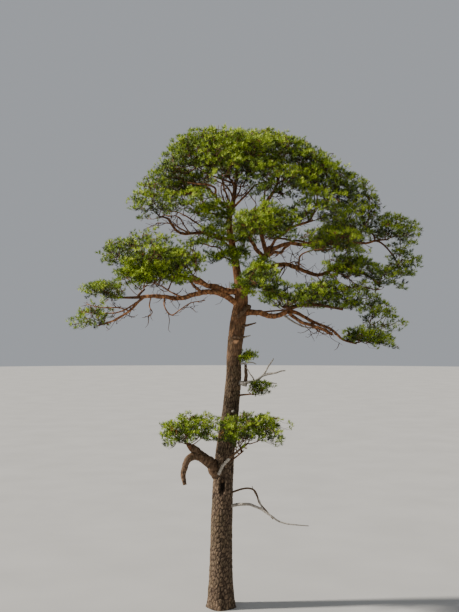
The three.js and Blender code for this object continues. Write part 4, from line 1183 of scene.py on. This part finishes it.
class TwigTree:
    """The twigs of a mass. Each knows its parent, so that its thickness follows what it bears."""

    def __init__(self, stem):
        self.paths = [stem]
        self.parents = [-1]

    def grow(self, path, parent):
        self.paths.append(path)
        self.parents.append(parent)
        return len(self.paths) - 1

    def loads(self):
        """How many twigs each twig bears, itself among them."""
        count = np.ones(len(self.paths))
        for index in range(len(self.paths) - 1, 0, -1):
            count[self.parents[index]] += count[index]
        return count


def twig_path(foot, root, sag, random):
    """A twig's line from its foot to the root of its spray, sagging and turning a little."""
    t = TWIG_SHARES[:, None]
    length = np.linalg.norm(root - foot)
    aside = (random.random(3) - 0.5) * TWIG_BEND * length
    aside[2] -= sag * length
    kink = (random.random(3) - 0.5) * TWIG_KINK * length
    return foot + (root - foot) * t + aside * 4 * t * (1 - t) * 0.5 + kink * np.sin(2 * math.pi * t)


def spray_axes(foot, point, facing):
    """The directions along and across a spray that grows from its foot and faces one way."""
    along = point - foot
    along = unit(along - facing * np.dot(along, facing))
    return along, np.cross(facing, along)


def pad_clusters(point, root, along, across, facing, size, random):
    """The clusters of a pad, each as the root and the middle of its shoot, its facing and how
    pale it is."""
    turn = random.random() * 2 * math.pi
    tone = PAD_TONE * random.normal()
    made = []
    for k in range(CLUSTERS):
        reach = math.sqrt((k + CLUSTER_START) / CLUSTERS) * PAD_REACH * size
        angle = k * GOLDEN_ANGLE + turn
        dome = PAD_DOME * size * (1 - (reach / (PAD_EDGE * size)) ** 2)
        lift = dome + PAD_UNEVENNESS * random.normal()
        middle = point + reach * (math.cos(angle) * along + math.sin(angle) * across)
        own = tone + CLUSTER_TONE * random.normal()
        made.append(np.concatenate([root, middle + facing * lift, facing, [own]]))
    return made


def grow_mass(mass, walls, random):
    """The twigs of a mass, and its clusters of tufts."""
    stem, crotch = stem_of(mass)
    tree = TwigTree(stem)
    free = [(point_along(stem, share), 0.0, 0) for share in STEM_FORKS]
    places = spray_places(mass, walls)
    places.sort(key=lambda place: np.linalg.norm(place[0] - crotch))
    clusters = []
    for point, facing, yaw, length in places:
        costs = [np.linalg.norm(fork - point) + PATH_WEIGHT * far for fork, far, _ in free]
        foot, far, parent = free.pop(int(np.argmin(costs)))
        along, across = spray_axes(foot, point, facing)
        along = along * math.cos(yaw) + across * math.sin(yaw)
        across = np.cross(facing, along)
        size = length * PAD_SIZE
        root = point - along * SPRAY_ROOT * size
        path = twig_path(foot, root, TWIG_SAG, random)
        twig = tree.grow(path, parent)
        far = far + np.linalg.norm(root - foot)
        free.extend((point_along(path, share), far, twig) for share in TWIG_FORKS)
        pad = pad_clusters(point, root, along, across, facing, size, random)
        clusters.extend(row for row in pad if in_space(row[3:6], mass, walls))
    return tree, np.array(clusters)


# Twig meshes, many at once.

def tubes(paths, radii, sides):
    """Corners and faces of many thin tubes with the same number of rings."""
    count, rings, _ = paths.shape
    chord = unit(paths[:, -1] - paths[:, 0])
    reference = np.eye(3)[np.argmin(np.abs(chord), axis=1)][:, None]
    tangents = unit(np.gradient(paths, axis=1))
    across = unit(np.cross(tangents, reference))
    over = np.cross(tangents, across)
    angle = np.arange(sides) * 2 * math.pi / sides
    ring = across[:, :, None] * np.cos(angle)[None, None, :, None]
    ring = ring + over[:, :, None] * np.sin(angle)[None, None, :, None]
    corners = paths[:, :, None] + ring * radii[:, :, None, None]
    first = (np.arange(count) * rings * sides)[:, None, None]
    faces = [(part[None] + first).reshape(-1, part.shape[1]) for part in grid_faces(rings, sides)]
    return corners.reshape(-1, 3), faces


def stem_tubes(trees):
    """The stems of masses, thick enough for what each bears."""
    share = np.linspace(0, 1, STEM_RINGS)
    paths, radii = [], []
    for mass, tree in trees:
        paths.append(point_along(tree.paths[0], share))
        on_trunk = mass.bearer == "trunk"
        start = TRUNK_STEM_RADIUS if on_trunk else limbs[mass.bearer].radius_at(1.0) * STEM_FIT
        end = max(LEAST_STEM_RADIUS, STEM_TAPER * start)
        radii.append(start + (end - start) * share)
    return tubes(np.array(paths), np.array(radii), 8)


def twig_tubes(trees):
    """The twigs that bear sprays. Each is as thick as its load needs."""
    paths, radii = [], []
    for _, tree in trees:
        for path, load in zip(tree.paths[1:], tree.loads()[1:]):
            foot = TWIG_TIP_RADIUS * load**TWIG_GROWTH + TWIG_FOOT_EXTRA
            paths.append(path)
            radii.append(foot + (TWIG_TIP_RADIUS - foot) * TWIG_SHARES)
    return tubes(np.array(paths), np.array(radii), 4)


def shoot_tubes(clusters, random):
    """The short shoots that bear clusters of tufts."""
    foot, tip = clusters[:, 0:3], clusters[:, 3:6]
    length = np.linalg.norm(tip - foot, axis=1, keepdims=True)
    bend = (random.random(foot.shape) - 0.5) * SHOOT_BEND * length
    bend[:, 2] -= SHOOT_SAG * length[:, 0]
    paths = np.stack([foot, (foot + tip) / 2 + bend, tip], axis=1)
    return tubes(paths, np.tile(SHOOT_RADII, (len(foot), 1)), 3)


def twig_piece(name, batches):
    """A piece of twigs from several batches of tubes."""
    faces = []
    first = 0
    for corners, parts in batches:
        faces.extend(part + first for part in parts)
        first += len(corners)
    mesh = mesh_of(np.concatenate([corners for corners, _ in batches]), faces)
    add_piece(name, mesh, "bough_bark", [MATERIALS["twigs"]])


# Tufts and needles.

def tufts_of(clusters, random):
    """The middle, direction, size and tone of every tuft of the clusters. The tone is the
    cluster's own plus painted light on the tufts that rise higher.
    """
    count = len(clusters)
    root, middle, facing, tone = np.split(clusters[:, None], [3, 6, 9], axis=-1)
    outward = unit(middle - root)
    index = np.arange(TUFTS)[None, :, None]
    turn = index * GOLDEN_ANGLE + random.random((count, 1, 1)) * RANDOM_TURN
    spread = np.sqrt((index + TUFT_START) / TUFTS) * TUFT_SPREAD
    spread = spread * (TUFT_REACHES[0] + TUFT_REACHES[1] * random.random((count, TUFTS, 1)))
    aside = np.cos(turn) * outward + np.sin(turn) * np.cross(facing, outward)
    rise = TUFT_RISE * random.normal(size=(count, TUFTS, 1)) + TUFT_LIFT
    origin = middle + aside * spread + facing * rise
    direction = unit(aside * spread / TUFT_SPREAD * TUFT_ASIDE + facing * TUFT_UP
                     + outward * TUFT_OUTWARD + TUFT_CHANCE * random.normal(size=aside.shape))
    size = TUFT_SIZES[0] + TUFT_SIZES[1] * random.random((count, TUFTS))
    # Tufts that rise higher in a cluster are paler: painted light on the cluster's top.
    tone = tone[..., 0] + HIGH_TUFT_LIGHT * (rise[..., 0] - TUFT_LIFT)
    return origin.reshape(-1, 3), direction.reshape(-1, 3), size.reshape(-1), tone.reshape(-1)


def needles_of(origin, direction, size, random):
    """Corners of the needles: pairs that share a corner, spread round each shoot."""
    count = len(origin)
    helper = np.eye(3)[np.argmin(np.abs(direction), axis=1)]
    side = unit(np.cross(direction, helper))
    over = np.cross(direction, side)
    k = np.arange(PAIRS)[None]
    turn = k * GOLDEN_ANGLE + random.random((count, 1)) * RANDOM_TURN
    open_angle = np.radians(NEEDLE_ANGLES[0] + NEEDLE_ANGLES[1] * ((k * NEEDLE_ANGLE_STEP) % 1))
    open_angle = open_angle + NEEDLE_ANGLE_CHANCE * random.normal(size=(count, PAIRS))
    along = (0.5 - open_angle / WIDEST_ANGLE) * SHOOT_LENGTH
    radial = np.cos(turn)[..., None] * side[:, None] + np.sin(turn)[..., None] * over[:, None]
    axis = direction[:, None]
    way = np.cos(open_angle)[..., None] * axis + np.sin(open_angle)[..., None] * radial
    around = np.cross(axis, radial)
    twist = NEEDLE_TWIST * random.normal(size=(count, PAIRS, 1))
    flat = unit(around * np.cos(twist) + np.cross(way, around) * np.sin(twist))
    base = origin[:, None] + axis * (along * size[:, None])[..., None]
    length = NEEDLE_LENGTHS[0] + NEEDLE_LENGTHS[1] * random.random((count, PAIRS))
    length = NEEDLE_LENGTH * size[:, None] * length
    width = NEEDLE_WIDTH * size[:, None, None]
    tips = base + way * length[..., None]
    spread = flat * (PAIR_SPREAD * length[..., None])
    return np.stack([base - flat * width, base, base + flat * width, tips - spread, tips + spread],
                    axis=2).reshape(-1, 3)


def needle_piece(name, corners, greens, nodes=()):
    """A piece of needles, with each tuft in its own green."""
    first = np.arange(len(corners) // 5)[:, None] * 5
    mesh = mesh_of(corners, [(first + [0, 1, 3, 1, 2, 4]).reshape(-1, 3)])
    add_piece(name, mesh, "needles", NEEDLES, nodes, smooth=False)
    mesh.polygons.foreach_set("material_index", np.repeat(greens, PAIRS * 2).astype(np.int32))


def green_of(value):
    """The nearest green to each value from dark to pale."""
    return np.clip(np.round(value), 0, len(GREENS) - 2).astype(int)


def tuft_greens(mass, origin, direction, tone, random):
    """Which green each tuft has: paler on top, outside and facing up as painted light, and
    darker below, inside and where the crown's edge draws in as painted shade."""
    off = origin - mass.middle
    level = (off[:, 2] - mass.rise * off[:, 0]) / mass.half[2]
    deep = np.clip(crown_weight(origin) - 1, 0, 3)
    # Painted light comes from level and way up, painted shade from depth and the ragged waves.
    value = GREEN_MIDDLE + GREEN_BY_LEVEL * level + GREEN_BY_DEPTH * deep
    value = value + GREEN_BY_WAY * direction[:, 2] + tone + GREEN_BY_WAVES * waves_at(origin)
    value = value + GREEN_CHANCE * random.normal(size=len(origin))
    old = random.random(len(origin)) < OLD_TUFTS
    return np.where(old, len(GREENS) - 1, green_of(value))


def inner_sprays(random):
    """Twigs and clusters of the small sprays, each grown from the limb nearest to it."""
    lines = [limb.points for limb in [*limbs.values(), *inner_limbs]]
    lines.append(np.array([trunk_point(z) for z in np.arange(*BARE_TRUNK, 0.05)]))
    bearers = np.concatenate(lines)
    twigs, clusters = [], []
    for middle, half, count in INNER_SPRAYS:
        for _ in range(count):
            way = unit(random.normal(size=3)) * random.random() ** (1 / 3)
            point = np.array(middle) + way * np.array(half)
            foot = bearers[np.argmin(np.linalg.norm(bearers - point, axis=1))]
            facing = unit(np.array([random.random() - 0.5, random.random() - 0.9, FACING_UP]))
            along, across = spray_axes(foot, point, facing)
            root = point - along * SPRAY_ROOT * INNER_SPRAY_SIZE * INNER_SPRAY_ROOT
            twigs.append(twig_path(foot, root, INNER_TWIG_SAG, random))
            clusters.extend(
                pad_clusters(point, root, along, across, facing, INNER_SPRAY_SIZE, random))
    return np.array(twigs), np.array(clusters)


def side_twigs(random):
    """Bare twigs along the boughs and inner limbs, some with a twig of their own."""
    paths = []
    bearers = [limb for name, limb in limbs.items() if "bough" in name and "low_left" not in name]
    for limb in bearers + inner_limbs:
        for _ in range(int(limb.length * SIDE_TWIGS)):
            share = SIDE_TWIG_START + (1 - SIDE_TWIG_START) * random.random()
            foot = limb.at(share)
            spread = random.normal(size=3) * SIDE_TWIG_SPREAD
            way = unit(spread + SIDE_TWIG_ALONG * limb.tangent(share))
            length = SIDE_TWIG_LENGTHS[0] + SIDE_TWIG_LENGTHS[1] * random.random() ** 2
            path = twig_path(foot, foot + way * length, SIDE_TWIG_SAG, random)
            paths.append(path)
            if random.random() < FORKED_SIDE_TWIGS:
                start = path[2 + int(2 * random.random())]
                turned = unit(way + FORKED_SPREAD * random.normal(size=3))
                tip = start + turned * length * FORKED_LENGTH
                paths.append(twig_path(start, tip, SIDE_TWIG_SAG, random))
    return np.array(paths)


def build_inner_sprays(random):
    """The small sprays of the inner crown, and the bare side twigs."""
    bearing, clusters = inner_sprays(random)
    bare = side_twigs(random)
    radii = SIDE_TWIG_RADII[0] - SIDE_TWIG_RADII[1] * TWIG_SHARES
    radii = radii * (SIDE_TWIG_SIZES[0] + SIDE_TWIG_SIZES[1] * random.random((len(bare), 1)))
    shoots = shoot_tubes(clusters, random)
    thick = np.tile(INNER_TWIG_RADII[0] - INNER_TWIG_RADII[1] * TWIG_SHARES, (len(bearing), 1))
    twig_piece("side_twigs", [tubes(bare, radii, 4), shoots, tubes(bearing, thick, 4)])
    origin, direction, size, tone = tufts_of(clusters, random)
    corners = needles_of(origin, direction, size, random)
    chance = INNER_GREEN_CHANCE * random.normal(size=len(origin))
    # Tufts that face up get painted light, and high tufts are paler through their tone, also painted
    # light.
    value = INNER_GREEN_MIDDLE + GREEN_BY_WAY * direction[:, 2] + tone + chance
    needle_piece("needles_inner", corners, green_of(value))


def build_region(region, masses, random):
    """The twigs and needles of neighbouring masses."""
    trees, clusters, corners, greens = [], [], [], []
    for mass in masses:
        walls = walls_of(mass)
        tree, own = grow_mass(mass, walls, random)
        trees.append((mass, tree))
        clusters.append(own)
        tufts = tufts_of(own, random)
        keep = in_space(tufts[0], mass, walls)
        origin, direction, size, tone = (values[keep] for values in tufts)
        corners.append(needles_of(origin, direction, size, random))
        greens.append(tuft_greens(mass, origin, direction, tone, random))
    nodes = ["foliage_" + mass.name for mass in masses]
    needle_piece("needles_" + region, np.concatenate(corners), np.concatenate(greens), nodes)
    shoots = shoot_tubes(np.concatenate(clusters), random)
    twig_piece("twigs_" + region, [stem_tubes(trees), twig_tubes(trees), shoots])


# Camera, floor and light.

def aim(thing, way):
    thing.rotation_mode = "QUATERNION"
    thing.rotation_quaternion = way.to_track_quat("-Z", "Y")


def build_camera():
    data = bpy.data.cameras.new("camera")
    data.lens = LENS
    data.sensor_width = SENSOR
    data.clip_end = 500
    camera = add_object("camera", data)
    camera.location = CAMERA_PLACE
    aim(camera, CAMERA_AIM - CAMERA_PLACE)
    bpy.context.scene.camera = camera


def build_floor():
    angle = np.arange(FLOOR_SIDES) * 2 * math.pi / FLOOR_SIDES
    rim = FLOOR_RADIUS * np.stack([np.cos(angle), np.sin(angle), np.zeros(FLOOR_SIDES)], axis=-1)
    mesh = mesh_of(rim, [np.arange(FLOOR_SIDES)[None]])
    nodes = Nodes("floor", 0.95, 0.1)
    colour = nodes.ramp(nodes.noise(0.3, 2, 0.5), [
        (0.3, (0.46, 0.45, 0.43, 1)), (0.7, (0.5, 0.49, 0.47, 1))])
    mesh.materials.append(nodes.finish(colour))
    add_object("floor", mesh)


def build_light():
    world = bpy.data.worlds.new("sky")
    bpy.context.scene.world = world
    world.use_nodes = True
    background = world.node_tree.nodes["Background"]
    background.inputs["Color"].default_value = SKY_COLOUR
    background.inputs["Strength"].default_value = SKY_STRENGTH
    data = bpy.data.lights.new("sun", "SUN")
    data.energy = SUN_STRENGTH
    data.angle = math.radians(SUN_WIDTH)
    data.color = SUN_COLOUR
    aim(add_object("sun", data), SUN_WAY)


build_camera()
build_floor()
build_light()
build_trunk()
build_boughs()
build_small_limbs()
rng = np.random.default_rng(TWIG_SEED)
for region, masses in REGIONS.items():
    build_region(region, masses, rng)
build_inner_sprays(rng)
